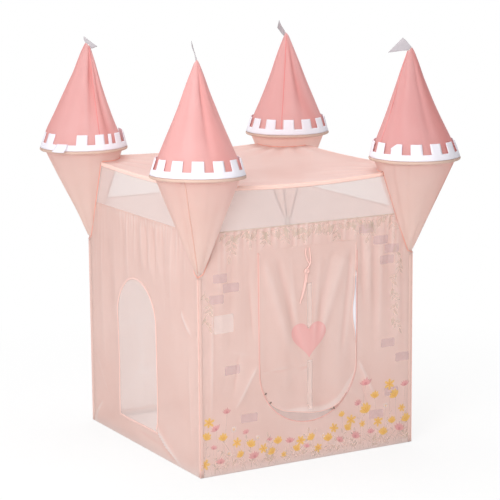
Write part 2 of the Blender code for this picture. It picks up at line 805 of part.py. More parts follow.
def window(side):
    place_along = WINDOW_PLACE if side == "right" else -WINDOW_PLACE
    depth = 2 * OVERRUN
    outline = arch_outline(WINDOW_WIDTH, WINDOW_FOOT, WINDOW_TOP, place_along)
    opening = upright_outline(f"window opening {side}", outline, depth, net_white, sides[side])
    opening.location.y = -HALF
    boolean(walls[side], make_cutter(opening), "DIFFERENCE")
    inner = arch_outline(
        WINDOW_WIDTH - 2 * CLEARANCE, WINDOW_FOOT + CLEARANCE, WINDOW_TOP - CLEARANCE, place_along
    )
    shape = upright_outline(f"window shape {side}", inner, depth, net_white, sides[side])
    shape.location.y = -HALF
    reach = WINDOW_WIDTH / 2 + CLEARANCE
    low, high = WINDOW_FOOT - CLEARANCE, WINDOW_TOP + CLEARANCE

    def place(s, t):
        along = place_along + reach * (2 * s - 1)
        height = low + (high - low) * t
        return along, -HALF - FOLDS[side](along, height), height

    net = sheet(f"window_mesh_{side}", 6, 6, place, NET, net_white, sides[side])
    boolean(net, make_cutter(shape), "INTERSECT")


skirt_clearances = {name: skirt_clearance(name) for name in CORNERS}
for corner_name in CORNERS:
    base_corner(corner_name)
    upright(corner_name)
    tower_skirt(corner_name)
    hoop(corner_name)
    tower_roof(corner_name)
    battlement(corner_name)
    pennant(corner_name)
walls = {}
for side_name in SIDES:
    base_rods(side_name)
    walls[side_name] = wall(side_name)
    net_panel(side_name)
roof_panel()
door()
door_tie()
window("left")
window("right")
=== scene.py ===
# %% [markdown]
# # A children's castle play tent
# The tent is a square of four thin cloth walls with a row of net above them and a flat roof. Each corner
# carries a tower: an upside-down cone of sheer cloth, a stiff hoop, and a pink pointed roof with a white
# battlement. This lesson dresses the engineering model in cloth. It starts by loading that model as a
# frame that stays put.

# %% The frame
import math

import bmesh
import bpy
from mathutils import Matrix, Vector, noise


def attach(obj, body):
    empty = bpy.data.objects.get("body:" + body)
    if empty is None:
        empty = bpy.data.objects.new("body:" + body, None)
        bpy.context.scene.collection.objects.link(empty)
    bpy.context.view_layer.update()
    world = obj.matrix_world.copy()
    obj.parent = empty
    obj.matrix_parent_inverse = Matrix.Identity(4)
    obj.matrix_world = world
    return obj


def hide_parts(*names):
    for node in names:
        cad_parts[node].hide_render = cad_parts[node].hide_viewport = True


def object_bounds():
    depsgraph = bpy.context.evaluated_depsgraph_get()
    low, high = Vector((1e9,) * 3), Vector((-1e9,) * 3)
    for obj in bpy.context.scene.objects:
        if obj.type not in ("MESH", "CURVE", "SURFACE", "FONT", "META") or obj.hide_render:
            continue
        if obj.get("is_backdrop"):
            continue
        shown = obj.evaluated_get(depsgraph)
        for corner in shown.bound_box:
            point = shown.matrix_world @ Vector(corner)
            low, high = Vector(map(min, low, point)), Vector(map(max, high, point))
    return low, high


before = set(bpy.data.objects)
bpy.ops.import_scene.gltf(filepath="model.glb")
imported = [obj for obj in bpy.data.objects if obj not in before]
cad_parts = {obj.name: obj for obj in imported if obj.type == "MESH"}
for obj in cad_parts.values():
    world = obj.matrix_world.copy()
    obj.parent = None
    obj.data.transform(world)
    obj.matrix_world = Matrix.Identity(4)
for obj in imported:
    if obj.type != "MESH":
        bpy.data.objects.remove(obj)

bpy.ops.object.select_all(action="DESELECT")
cad_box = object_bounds()

# %% [markdown]
# ## Camera
# The camera stands somewhat higher than a grown-up's eyes and looks down at the near corner, from far
# away with a long lens, so upright lines stay almost upright. Its place was fitted to the corners and
# tips.

# %% Camera
CAMERA_PLACE = Vector((-3.7136, -6.6101, 2.1898))
LENS, SENSOR = 138.86, 36  # millimetres
HEADING, TILT, ROLL = math.radians(29.42), math.radians(-10.76), math.radians(-0.49)
FORWARD = Vector((math.sin(HEADING) * math.cos(TILT), math.cos(HEADING) * math.cos(TILT), math.sin(TILT)))
RIGHTWARD = Vector((math.cos(HEADING), -math.sin(HEADING), 0))
UPWARD = RIGHTWARD.cross(FORWARD)


def aim_camera():
    right = RIGHTWARD * math.cos(ROLL) + UPWARD * math.sin(ROLL)
    up = UPWARD * math.cos(ROLL) - RIGHTWARD * math.sin(ROLL)
    turn = Matrix((right, up, -FORWARD)).transposed()
    bpy.ops.object.camera_add(location=CAMERA_PLACE, rotation=turn.to_euler())
    camera = bpy.context.object
    camera.name = "camera"
    camera.data.lens = LENS
    camera.data.sensor_width = SENSOR
    camera.data.clip_end = 100
    bpy.context.scene.camera = camera


aim_camera()
print("The camera stands", round(CAMERA_PLACE.length, 2), "m from the tent's middle")

# %% [markdown]
# ## Light, floor and background
# The tent stands in a bright white studio. A soft white sky lights it from all round, stronger from the
# left. One large lamp from the front left gives the folds their shade, a second one from above lights the
# roof, and the floor throws light back up. The pure white background is only there for the camera, for
# reflections and for what shows through glass, so it adds nothing to the soft light on the cloth. Sky,
# floor and cloth are all wired from shader nodes, so a helper for that comes first.

# %% Wiring helper
WHITE = (1, 1, 1, 1)


class Wiring:
    """A node tree with short ways to add nodes and to join them."""

    def __init__(self, tree):
        self.nodes, self.links = tree.nodes, tree.links

    def put(self, socket, value):
        """Sets an input, or joins it to another node's output."""
        if isinstance(value, bpy.types.NodeSocket):
            self.links.new(value, socket)
        else:
            socket.default_value = value

    def fill(self, node, **inputs):
        """Fills inputs by name, with an underscore for each space."""
        for name, value in inputs.items():
            self.put(node.inputs[name.replace("_", " ")], value)
        return node

    def add(self, kind, **inputs):
        return self.fill(self.nodes.new("ShaderNode" + kind), **inputs)

    def out(self, kind, output=0, **inputs):
        """Adds a node and gives one of its outputs."""
        return self.add(kind, **inputs).outputs[output]

    def maths(self, operation, first, second, clamp=False):
        step = self.add("Math")
        step.operation, step.use_clamp = operation, clamp
        self.put(step.inputs[0], first)
        self.put(step.inputs[1], second)
        return step.outputs[0]

    def mix(self, share, first, second):
        """Mixes two shaders."""
        mixed = self.add("MixShader", Fac=share)
        self.put(mixed.inputs[1], first)
        self.put(mixed.inputs[2], second)
        return mixed.outputs[0]

    def mix_colours(self, share, first, second):
        mixed = self.add("Mix")
        mixed.data_type = "RGBA"
        self.put(mixed.inputs["Factor"], share)
        for place, colour in ((6, first), (7, second)):
            self.put(mixed.inputs[place], colour)
        return mixed.outputs[2]


def new_material(name):
    """A material with its wiring and its surface shader."""
    material = bpy.data.materials.new(name)
    material.use_nodes = True
    wiring = Wiring(material.node_tree)
    return material, wiring, wiring.nodes["Principled BSDF"]


print("The wiring helper is ready")

# %% Sky and lamps
SKY_COLOUR = (0.98, 0.99, 1.0, 1)
SKY_LEFT, SKY_RIGHT = 0.76, 0.5
# Each lamp's name, place, the height that it shines at, width and watts
LAMPS = (
    ("key", Vector((-2.9, -2.9, 2.7)), 0.8, 2.2, 110),
    ("top", Vector((0.4, 0.9, 4.2)), 1.1, 2.6, 52),
)


def make_sky():
    world = bpy.data.worlds.new("studio")
    bpy.context.scene.world = world
    world.use_nodes = True
    world.node_tree.nodes.clear()
    wiring = Wiring(world.node_tree)
    toward = wiring.add("VectorMath")
    toward.operation = "DOT_PRODUCT"
    toward.inputs[1].default_value = RIGHTWARD
    wiring.put(toward.inputs[0], wiring.out("TexCoord", "Generated"))
    fall = wiring.add("MapRange", Value=toward.outputs["Value"], From_Min=-1, From_Max=1)
    wiring.fill(fall, To_Min=SKY_LEFT, To_Max=SKY_RIGHT)
    sky = wiring.out("Background", Color=SKY_COLOUR, Strength=fall.outputs[0])
    backdrop = wiring.out("Background", Color=WHITE, Strength=1)
    ray = wiring.add("LightPath").outputs
    seen = wiring.maths("MAXIMUM", ray["Is Camera Ray"], ray["Is Glossy Ray"])
    seen = wiring.maths("MAXIMUM", seen, ray["Is Transmission Ray"])
    wiring.add("OutputWorld", Surface=wiring.mix(seen, sky, backdrop))


def make_lamp(name, place, aim, width, watts):
    bpy.ops.object.light_add(type="AREA", location=place)
    lamp = bpy.context.object
    lamp.name = name
    lamp.data.shape = "DISK"
    lamp.data.size = width
    lamp.data.energy = watts
    lamp.rotation_euler = (Vector((0, 0, aim)) - place).to_track_quat("-Z", "Y").to_euler()


make_sky()
for lamp_values in LAMPS:
    make_lamp(*lamp_values)
print("Sky from", SKY_LEFT, "to", SKY_RIGHT, "and", len(LAMPS), "lamps")

# %% Floor
FLOOR_SIZE = 60
FLOOR_WHITE = (0.93, 0.93, 0.93, 1)
# The floor looks white from FAR_OFF on, and NEAR_WHITE of that at CLOSE_BY from the tent's middle
NEAR_WHITE, CLOSE_BY, FAR_OFF = 0.8, 0.75, 2.2
# Within this distance of the middle, along both axes, the floor shows just as it is lit
UNDER_TENT = 0.47


def make_floor():
    """A white floor. The camera sees it as pure white far away, and with the tent's soft shadow close by."""
    bpy.ops.mesh.primitive_plane_add(size=FLOOR_SIZE)
    floor = bpy.context.object
    floor.name = "floor"
    material, wiring, surface = new_material("studio floor")
    wiring.fill(surface, Base_Color=FLOOR_WHITE, Roughness=0.9, Specular_IOR_Level=0.1)
    where = wiring.out("TexCoord", "Object")
    far = wiring.add("VectorMath")
    far.operation = "LENGTH"
    wiring.put(far.inputs[0], where)
    whiter = wiring.add("MapRange", Value=far.outputs["Value"], From_Min=CLOSE_BY, From_Max=FAR_OFF)
    wiring.fill(whiter, To_Min=NEAR_WHITE, To_Max=1)
    apart = wiring.add("SeparateXYZ", Vector=where)
    across = [wiring.maths("ABSOLUTE", apart.outputs[k], 0) for k in (0, 1)]
    outside = wiring.maths("GREATER_THAN", wiring.maths("MAXIMUM", *across), UNDER_TENT)
    share = wiring.maths("MULTIPLY", whiter.outputs[0], outside)
    share = wiring.maths("MULTIPLY", share, wiring.out("LightPath", "Is Camera Ray"))
    glow = wiring.out("Emission", Color=WHITE)
    seen = wiring.mix(share, surface.outputs[0], glow)
    wiring.put(wiring.nodes["Material Output"].inputs["Surface"], seen)
    floor.data.materials.append(material)
    floor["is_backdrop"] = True


make_floor()
bpy.context.scene.view_settings.view_transform = "Standard"
bpy.ops.object.select_all(action="DESELECT")
print("The floor is", FLOOR_SIZE, "m wide")

# %% [markdown]
# ## The tent's measures
# All cloth is laid out from the same few numbers as the frame: the height of the net's seam, of the roof,
# of the hoops and of the tips. Small helpers turn a place along a side, or a place round a tower, into a
# point in space.

# %% Measures
BASE_WIDTH = 0.95
# From the tent's middle to the walls' cloth
HALF = 0.47425
UPRIGHT_PLACE = 0.463
SEAM_HEIGHT = 0.931
ROOF_HEIGHT = 1.109
HOOP_HEIGHT = 1.144
TOWER_HEIGHT = 1.563
SKIRT_FOOT_HEIGHT = 0.775
SKIRT_FOOT_RADIUS = 0.012
SKIRT_TOP_HEIGHT = 1.139
SKIRT_TOP_RADIUS = 0.157
HOOP_RADIUS = 0.1717
CONE_FOOT = 1.1509
CONE_BASE_RADIUS = 0.171
TIP_RADIUS = 0.0084
TIP_MIDDLE = TOWER_HEIGHT - TIP_RADIUS
SIDES = ("front", "right", "back", "left")
CORNERS = {
    "front_left": Vector((-1, -1)),
    "front_right": Vector((1, -1)),
    "back_right": Vector((1, 1)),
    "back_left": Vector((-1, 1)),
}
# How far each tower leans outward at its hoop, and how much its hoop rises outward
HOOP_LEANS = {"front_left": 0, "front_right": 0.022, "back_right": 0, "back_left": 0.029}
HOOP_TILTS = {"front_left": 0.045, "front_right": 0, "back_right": 0, "back_left": 0}


def ease(value):
    """0 below 0, 1 above 1, and a smooth rise between."""
    value = min(max(value, 0), 1)
    return value * value * (3 - 2 * value)


def hump(value):
    """0 at both ends of 0 to 1, and 1 in between, with soft shoulders."""
    return ease(value * 4) * ease((1 - value) * 2.5)


def side_point(side, along, out, height):
    """A point from its place along a side, out from the tent's middle, and up."""
    x, y = along, -out
    for _ in range(SIDES.index(side)):
        x, y = -y, x
    return Vector((x, y, height))


def side_out(side):
    return side_point(side, 0, 1, 0)


def tower_axis(corner, height):
    """Where a tower's middle is at a height. Two towers lean outward where their hoop is."""
    out = CORNERS[corner]
    below = (height - SKIRT_FOOT_HEIGHT) / (SKIRT_TOP_HEIGHT - SKIRT_FOOT_HEIGHT)
    above = (TIP_MIDDLE - height) / (TIP_MIDDLE - CONE_FOOT)
    share = min(max(min(below, above), 0), 1)
    return out * (UPRIGHT_PLACE + HOOP_LEANS[corner] * share / math.sqrt(2))


def tower_point(corner, radius, angle, height):
    """A point round a tower, at an angle from the X axis."""
    middle = tower_axis(corner, height)
    step = Vector((radius * math.cos(angle), radius * math.sin(angle)))
    lift = HOOP_TILTS[corner] * step.dot(CORNERS[corner]) / math.sqrt(2)
    return Vector((middle.x + step.x, middle.y + step.y, height + lift))


def facing(corner):
    """The angle round a tower that points to where the photographer stood."""
    middle = tower_axis(corner, HOOP_HEIGHT)
    return math.atan2(CAMERA_PLACE.y - middle.y, CAMERA_PLACE.x - middle.x)


def bell(value):
    """1 at 0, and a smooth fall to both sides."""
    return math.exp(-value * value)


def heading(angle, rise=0.0):
    """A direction from its angle round the Z axis, with a rise."""
    return Vector((math.cos(angle), math.sin(angle), rise))


def ring_noise(angle, scale, height):
    """Soft noise that closes on itself round a tower."""
    return noise.noise(Vector((math.cos(angle) * scale, math.sin(angle) * scale, height)))


def corner_out(corner):
    return Vector((*CORNERS[corner], 0)).normalized()


def corner_number(corner):
    return list(CORNERS).index(corner)


print("Towers face the front at", [round(math.degrees(facing(c))) for c in CORNERS])

# %% [markdown]
# ## Cloth finishes
# The tent is thin polyester. Up close it has a plain weave, from further away it is softly crumpled and
# its colour drifts a little. The pattern follows each piece's own flat cut, which is kept as a UV map in
# metres. Thin cloth passes light on in two ways: some goes straight through between the threads, and some
# is scattered inside the cloth and lights its other side. The first is a mix with a transparent shader,
# the second one with a translucent shader. That is why the inside of the tent is bright.

# %% Cloth finishes
THREAD = 0.0011
# The wave texture draws one wave in this length where its scale is 1
WAVE_LENGTH = 2 * math.pi / 20
WEAVE_BUMP, WEAVE_DEPTH = 0.12, 0.0004
CREASE_SCALE, CREASE_DEPTH = 9, 0.006
# Painted shade in dips and painted highlights on ridges: how much of its red, green and blue a cloth keeps in
# its dips, and how far it goes to white on its ridges
DEEPER = (0.92, 0.71, 0.69)
PALER = 0.6
SHEEN = 0.05


def shade(code, times=1.0):
    """A colour as on a paint card, such as E8C5BC, turned into the light values that the shader wants."""
    values = [int(code[k : k + 2], 16) / 255 for k in (0, 2, 4)]
    light = [v / 12.92 if v <= 0.04045 else ((v + 0.055) / 1.055) ** 2.4 for v in values]
    return tuple(min(1, v * times) for v in light) + (1,)


def weave(wiring, where, thread):
    """The height of a plain weave: threads up and across."""
    warp = wiring.out("TexWave", "Fac", Vector=where, Scale=WAVE_LENGTH / thread)
    weft = wiring.add("TexWave", Vector=where, Scale=WAVE_LENGTH / thread)
    weft.bands_direction = "Y"
    return wiring.maths("ADD", warp, weft.outputs["Fac"])


def let_light_through(wiring, surface, colour, normal, glow, cover):
    """Adds the light that shines through cloth: glow is scattered, and 1 - cover goes straight on."""
    lit = surface.outputs[0]
    if glow:
        lit = wiring.mix(glow, lit, wiring.out("BsdfTranslucent", Color=colour, Normal=normal))
    if cover < 1:
        lit = wiring.mix(cover, wiring.out("BsdfTransparent"), lit)
    wiring.put(wiring.nodes["Material Output"].inputs["Surface"], lit)


def press_folds(wiring, colour, ground, fold_light):
    """Paints highlights on the cloth's ridges and shade in its dips. cut_cloth notes where these are."""
    fold = wiring.add("Attribute")
    fold.attribute_name = "fold"
    pale = tuple(v + (1 - v) * PALER for v in ground[:3]) + (1,)
    deep = tuple(v * share for v, share in zip(ground[:3], DEEPER)) + (1,)
    for side, tone in ((fold_light, pale), (-fold_light, deep)):
        share = wiring.maths("MULTIPLY", side, fold.outputs["Fac"], clamp=True)
        colour = wiring.mix_colours(share, colour, tone)
    return colour


def cloth_finish(name, colour, drift, cover=1.0, glow=0.0, crumple=0.35, thread=THREAD, fold_light=0.4):
    """Woven cloth: its colour drifts between two, crumple says how creased it is, and the last share says how
    strongly highlights and shade are painted on its folds.
    """
    material, wiring, surface = new_material(name)
    where = wiring.out("TexCoord", "UV")
    woven = weave(wiring, where, thread)
    threads = wiring.out("Bump", Strength=WEAVE_BUMP, Distance=WEAVE_DEPTH, Height=woven)
    crumples = wiring.add("TexNoise", Vector=where, Scale=CREASE_SCALE, Detail=5, Roughness=0.55)
    crumples = wiring.fill(crumples, Distortion=0.6).outputs["Fac"]
    bump = wiring.out("Bump", Strength=crumple, Distance=CREASE_DEPTH, Height=crumples, Normal=threads)
    tone = wiring.out("TexNoise", "Fac", Vector=where, Scale=3.2, Detail=3)
    spread = wiring.out("MapRange", Value=tone, From_Min=0.3, From_Max=0.7)
    drifted = wiring.mix_colours(spread, shade(colour), shade(drift))
    # Highlights on ridges and shade in dips are painted into the colour
    painted_light = press_folds(wiring, drifted, shade(colour), fold_light)
    fine = wiring.out("MapRange", Value=woven, From_Max=2, To_Max=0.1)
    threaded = wiring.mix_colours(fine, painted_light, WHITE)
    rough = wiring.out("MapRange", Value=crumples, To_Min=0.72, To_Max=0.9)
    wiring.fill(surface, Base_Color=threaded, Normal=bump, Roughness=rough)
    wiring.fill(surface, Specular_IOR_Level=0.25, Sheen_Weight=SHEEN, Sheen_Roughness=0.5)
    let_light_through(wiring, surface, threaded, bump, glow, cover)
    return material


peach = cloth_finish("peach voile", "EFD6CE", "E9CCC3", cover=0.93, glow=0.42)
roof_peach = cloth_finish("peach roof cloth", "F3D6CF", "EECCC4", cover=0.93, glow=0.4)
skirt_peach = cloth_finish("sheer peach voile", "F7E3DA", "F2D8CE", cover=0.84, glow=0.56, crumple=0.5)
# A paler copy of the sheer skirt cloth: painted light for the far skirt, where the brim and roof shade it
lit_far_peach = cloth_finish("paler lit peach voile", "FFE3D6", "FFD9CA", cover=0.84, glow=0.45, crumple=0.5)
rose = cloth_finish("rose polyester", "F0BDBB", "E9AFAC", glow=0.36, crumple=0.35)
# A darker copy of the rose cloth: painted shade for the front right tower, which gets less light
shaded_rose = cloth_finish("shaded rose polyester", "E9B2B0", "E1A2A0", glow=0.36, crumple=0.35)
felt = cloth_finish("white felt", "F0ECF3", "E9E4EE", crumple=0.25, thread=0.0018)
pennant_grey = cloth_finish("pale grey felt", "BDB5B9", "B2AAAF", crumple=0.15, thread=0.0009, fold_light=0.1)
heart_voile = cloth_finish("rose voile", "F4BFBC", "EEB4B1", cover=0.95, glow=0.35, crumple=0.2)
brim_cream = cloth_finish("cream tape", "D6B6A6", "C8A594", crumple=0.3)
print("The cloth's threads lie", THREAD * 1000, "mm apart")

# %% [markdown]
# The net is a knitted mesh: pale threads with holes between them. From a few metres away the holes can't
# be seen one by one, so the sheet as a whole lets more than half of the view through, and the threads
# show as a fine grid.

# %% Net finish
NET_PITCH = 0.0022
NET_THREAD = (0.95, 0.92, 0.92, 1)


def net_finish(name, colour, cover, glow):
    material, wiring, surface = new_material(name)
    where = wiring.out("TexCoord", "UV")
    cells = wiring.add("TexVoronoi", Vector=where, Scale=1 / NET_PITCH)
    cells.feature = "DISTANCE_TO_EDGE"
    wiring.fill(cells, Randomness=0.15)
    threads = wiring.out("MapRange", Value=cells.outputs["Distance"], From_Max=0.25, To_Min=1, To_Max=0)
    paler = wiring.mix_colours(threads, shade(colour), NET_THREAD)
    bump = wiring.out("Bump", Strength=0.3, Distance=0.0005, Height=threads)
    wiring.fill(surface, Base_Color=paler, Normal=bump, Roughness=0.8, Specular_IOR_Level=0.2)
    let_light_through(wiring, surface, paler, bump, glow, cover)
    return material


net = net_finish("white net", "EBE1DD", 0.6, 0.3)
window_net = net_finish("fine white net", "EBE0DB", 0.6, 0.3)
print("Net threads every", NET_PITCH * 1000, "mm")

# %% [markdown]
# ## Tapes, plastic and rods
# Ribbon bindings carry a row of stitches along each edge. A tape's UV map runs along its length, so one
# dash pattern stitches every seam. Sockets and caps are matt moulded plastic, and the rods are
# fibreglass, whose fibres run along them.

# %% Tapes, plastic and rods
STITCH = 0.004
RIB = 0.0009


def tape_finish(name, colour, thread_colour):
    material, wiring, surface = new_material(name)
    where = wiring.out("TexCoord", "UV")
    ribs = wiring.out("TexWave", "Fac", Vector=where, Scale=WAVE_LENGTH / RIB)
    dashes = wiring.out("TexWave", "Fac", Vector=where, Scale=WAVE_LENGTH / STITCH)
    dashed = wiring.out("MapRange", Value=dashes, From_Min=0.45, From_Max=0.6)
    faded = wiring.out("MapRange", Value=dashed, To_Max=0.3)
    tone = wiring.out("TexNoise", "Fac", Vector=where, Scale=30, Detail=2)
    ground = wiring.mix_colours(tone, shade(colour), shade(colour, 1.06))
    stitched = wiring.mix_colours(faded, ground, shade(thread_colour))
    bump = wiring.out("Bump", Strength=0.25, Distance=0.0004, Height=ribs)
    wiring.fill(surface, Base_Color=stitched, Normal=bump, Roughness=0.6, Specular_IOR_Level=0.3)
    wiring.fill(surface, Sheen_Weight=0.2)
    return material


def moulded_finish(name, colour, roughness, grain, stretch=1.0):
    material, wiring, surface = new_material(name)
    stretched = wiring.out("Mapping", Vector=wiring.out("TexCoord", "Object"), Scale=(1, 1, stretch))
    speckle = wiring.out("TexNoise", "Fac", Vector=stretched, Scale=grain, Detail=4)
    worn = wiring.mix_colours(speckle, shade(colour), shade(colour, 0.93))
    rough = wiring.out("MapRange", Value=speckle, To_Min=roughness - 0.07, To_Max=roughness + 0.07)
    bump = wiring.out("Bump", Strength=0.15, Distance=0.0003, Height=speckle)
    wiring.fill(surface, Base_Color=worn, Normal=bump, Roughness=rough)
    return material


ribbon = tape_finish("blush ribbon", "E2AFA6", "EBC4BC")
pale_ribbon = tape_finish("pale blush ribbon", "E9C3B9", "F1D5CE")
salmon_piping = tape_finish("salmon piping", "ECA796", "F2BFB0")
seam_tape = tape_finish("peach seam tape", "DFBDB3", "D3ADA1")
white_tape = tape_finish("white hook tape", "F1EEF3", "E4E0E8")
# Dark tape for the tabs on the flap's foot, which are painted shadow
shadow_tab_tape = tape_finish("painted shadow tab", "7A6A62", "5E514B")
skirt_tape = tape_finish("skirt seam", "D2A79A", "DDB6AA")
grey_seam = tape_finish("grey seam thread", "D2BEB0", "BFAB9A")
dusky_tape = tape_finish("dusky rose tape", "96574B", "AA7266")
socket_plastic = moulded_finish("white socket plastic", "E6E4DF", 0.5, 300)
cap_plastic = moulded_finish("white cap plastic", "E9E7E2", 0.42, 400)
hoop_plastic = moulded_finish("cream hoop plastic", "EADBCB", 0.45, 260)
fibreglass = moulded_finish("white fibreglass", "DEDCD5", 0.38, 700, stretch=0.05)
CARRIED = {
    "base_corner": socket_plastic,
    "tip_cap": cap_plastic,
    "hoop": hoop_plastic,
    "base_rod": fibreglass,
    "upright": fibreglass,
}
for node_name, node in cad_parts.items():
    for start, material in CARRIED.items():
        if node_name.startswith(start):
            for slot in node.material_slots:
                slot.material = material
refinished = sum(name.startswith(tuple(CARRIED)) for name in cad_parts)
print("Tapes and plastics ready,", refinished, "nodes refinished")

# %% [markdown]
# ## Cutting and laying cloth
# A sheet starts as a flat grid in the cutting plan, where (a, b) are metres along and up the cloth, or an
# angle and a height for a round piece. A shape function says how far a place is outside the cut, and is
# below 0 on the cloth. Squares outside are dropped, the edge points slide onto the cut line, and then
# every point is laid in space. That keeps curved cuts clean, which trimming with a solid doesn't on such
# thin cloth.

# %% Cutting and laying cloth
NUDGE = 0.0002
# A bend of 1 / SHARP_BEND metres in radius counts as sharp
SHARP_BEND = 60


def slide_to_cut(a, b, shape, reach):
    """Moves a place of the cutting plan onto the cut line, where shape is 0."""
    start = (a, b)
    for _ in range(4):
        off = shape(a, b)
        da = (shape(a + NUDGE, b) - off) / NUDGE
        db = (shape(a, b + NUDGE) - off) / NUDGE
        steep = da * da + db * db
        if steep < 1e-9:
            return start
        a, b = a - off * da / steep, b - off * db / steep
    if math.hypot(a - start[0], b - start[1]) > reach:
        return start
    return a, b


def rows_between(low, high, step):
    count = max(1, round((high - low) / step))
    return [low + (high - low) * k / count for k in range(count + 1)]


def note_folds(cloth):
    """Notes at each point how sharply the cloth bends: above 0 on a ridge, below 0 in a dip. The finishes
    paint highlights on ridges and shade in dips from it.
    """
    layer = cloth.verts.layers.float.new("fold")
    cloth.normal_update()
    cloth.verts.index_update()
    bends = []
    for vert in cloth.verts:
        ring = [edge.other_vert(vert).co for edge in vert.link_edges]
        if vert.is_boundary or not ring:
            bends.append(0.0)
            continue
        middle = sum(ring, Vector()) / len(ring)
        size = sum((spot - vert.co).length_squared for spot in ring) / len(ring)
        bends.append(4 * (vert.co - middle).dot(vert.normal) / size)
    for vert in cloth.verts:
        near = [bends[edge.other_vert(vert).index] for edge in vert.link_edges]
        bend = (2 * bends[vert.index] + sum(near)) / (2 + len(near))
        vert[layer] = math.tanh(bend / SHARP_BEND)


def note_more(piece, more):
    """Adds to what note_folds has noted, by a function of each point's place."""
    for vert, note in zip(piece.data.vertices, piece.data.attributes["fold"].data):
        note.value += more(vert.co)


def cut_cloth(name, across, up, place, material, shape=None, flat=None, slide=True):
    """A sheet of cloth, as one mesh object whose flat cut is its UV map."""
    cloth = bmesh.new()
    map_layer = cloth.loops.layers.uv.new("cut")
    grid = [[cloth.verts.new((a, b, 0)) for a in across] for b in up]
    for low, high in zip(grid, grid[1:]):
        for k in range(len(across) - 1):
            cloth.faces.new((low[k], low[k + 1], high[k + 1], high[k]))
    if shape:
        outside = []
        for face in cloth.faces:
            middle = face.calc_center_median()
            if shape(middle.x, middle.y) > 0:
                outside.append(face)
        rim = {v for face in outside for v in face.verts} if slide else set()
        bmesh.ops.delete(cloth, geom=outside, context="FACES")
        reach = max(across[1] - across[0], up[1] - up[0]) * 1.6
        for vert in rim:
            if vert.is_valid:
                vert.co.x, vert.co.y = slide_to_cut(vert.co.x, vert.co.y, shape, reach)
        loose = [v for v in cloth.verts if not v.link_faces]
        bmesh.ops.delete(cloth, geom=loose, context="VERTS")
    for face in cloth.faces:
        for loop in face.loops:
            a, b = loop.vert.co.x, loop.vert.co.y
            loop[map_layer].uv = flat(a, b) if flat else (a, b)
    for vert in cloth.verts:
        vert.co = place(vert.co.x, vert.co.y)
    bmesh.ops.remove_doubles(cloth, verts=cloth.verts, dist=0.00002)
    note_folds(cloth)
    return keep_mesh(name, cloth, material)


def keep_mesh(name, shape, material):
    """Turns edited geometry into an object of the scene, with one finish."""
    mesh = bpy.data.meshes.new(name)
    shape.to_mesh(mesh)
    shape.free()
    mesh.materials.append(material)
    mesh.shade_smooth()
    piece = bpy.data.objects.new(name, mesh)
    bpy.context.scene.collection.objects.link(piece)
    return piece


def thicken(piece, thickness):
    """Gives a sheet its real thickness."""
    bpy.ops.object.select_all(action="DESELECT")
    piece.select_set(True)
    bpy.context.view_layer.objects.active = piece
    solid = piece.modifiers.new("thickness", "SOLIDIFY")
    solid.thickness = thickness
    solid.offset = 0
    bpy.ops.object.modifier_apply(modifier=solid.name)
    piece.select_set(False)


def belong(piece, body, slot, *nodes):
    """Says what a piece moves with, and hides the frame nodes it stands for. Its slot is not used."""
    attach(piece, body)
    if nodes:
        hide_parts(*nodes)
    return piece


print(f"A fold of {1000 / SHARP_BEND:.0f} mm in radius counts as sharp")

# %% [markdown]
# ## Sewing tapes and piping
# A binding, a piping or a ribbon is one small outline swept along a path, while a direction that points
# out of the cloth keeps it from twisting. One helper makes them all.

# %% Sewing tapes and piping
def round_section(radius, sides=8):
    turns = [2 * math.pi * k / sides for k in range(sides)]
    return [(radius * math.cos(turn), radius * math.sin(turn)) for turn in turns]


def tape_section(width, thickness):
    """A flat ribbon's outline, a little plumper in its middle."""
    half, edge, middle = width / 2, width / 2 * 0.86, thickness * 1.15
    return [(half, 0), (edge, thickness), (0, middle), (-edge, thickness), (-half, 0), (0, -thickness * 0.2)]


def sew(shape, path, outs, section, closed=False):
    """Sweeps a section along a path into a bmesh. outs points away from the cloth at each of its points."""
    map_layer = shape.loops.layers.uv.verify()
    count = len(path)
    rings, lengths, run = [], [], 0
    for k, point in enumerate(path):
        before = path[k - 1] if k or closed else path[k]
        after = path[(k + 1) % count] if k < count - 1 or closed else path[k]
        ahead = (after - before).normalized()
        out = outs[k] if isinstance(outs, list) else outs
        aside = ahead.cross(out).normalized()
        out = aside.cross(ahead)
        rings.append([shape.verts.new(point + aside * s + out * o) for s, o in section])
        lengths.append(run)
        if k < count - 1:
            run += (path[k + 1] - point).length
    if closed:
        rings.append(rings[0])
        lengths.append(run + (path[0] - path[-1]).length)
    around = [0]
    sides = len(section)
    for k in range(sides):
        (s, o), (t, p) = section[k], section[(k + 1) % sides]
        around.append(around[-1] + math.hypot(t - s, p - o))
    for k in range(len(rings) - 1):
        for j in range(sides):
            i = (j + 1) % sides
            face = shape.faces.new((rings[k][j], rings[k][i], rings[k + 1][i], rings[k + 1][j]))
            places = ((k, j), (k, j + 1), (k + 1, j + 1), (k + 1, j))
            for loop, (at, side) in zip(face.loops, places):
                loop[map_layer].uv = (lengths[at], around[side])
    if not closed:
        shape.faces.new(list(reversed(rings[0])))
        shape.faces.new(rings[-1])
    return run


def sewn_piece(name, runs, section, material, body="tent", slot="ribbon", closed=False):
    """One object of several swept runs, each a path and the direction away from the cloth."""
    shape = bmesh.new()
    total = sum(sew(shape, path, outs, section, closed) for path, outs in runs)
    bmesh.ops.recalc_face_normals(shape, faces=shape.faces)
    belong(keep_mesh(name, shape, material), body, slot)
    print(f"{name}: {total:.2f} m sewn")


print("A round section has", len(round_section(1)), "corners, a tape", len(tape_section(1, 1)))

# %% [markdown]
# ## The walls' folds
# The walls hang from the net's seam, a little fuller than the seam, so they gather in soft upright folds
# that fade on the way down. Each fold is written down as a gardener would plant a row: where it stands,
# how far it drifts sideways, how wide and how deep it is, where it starts below the seam and how long it
# runs.

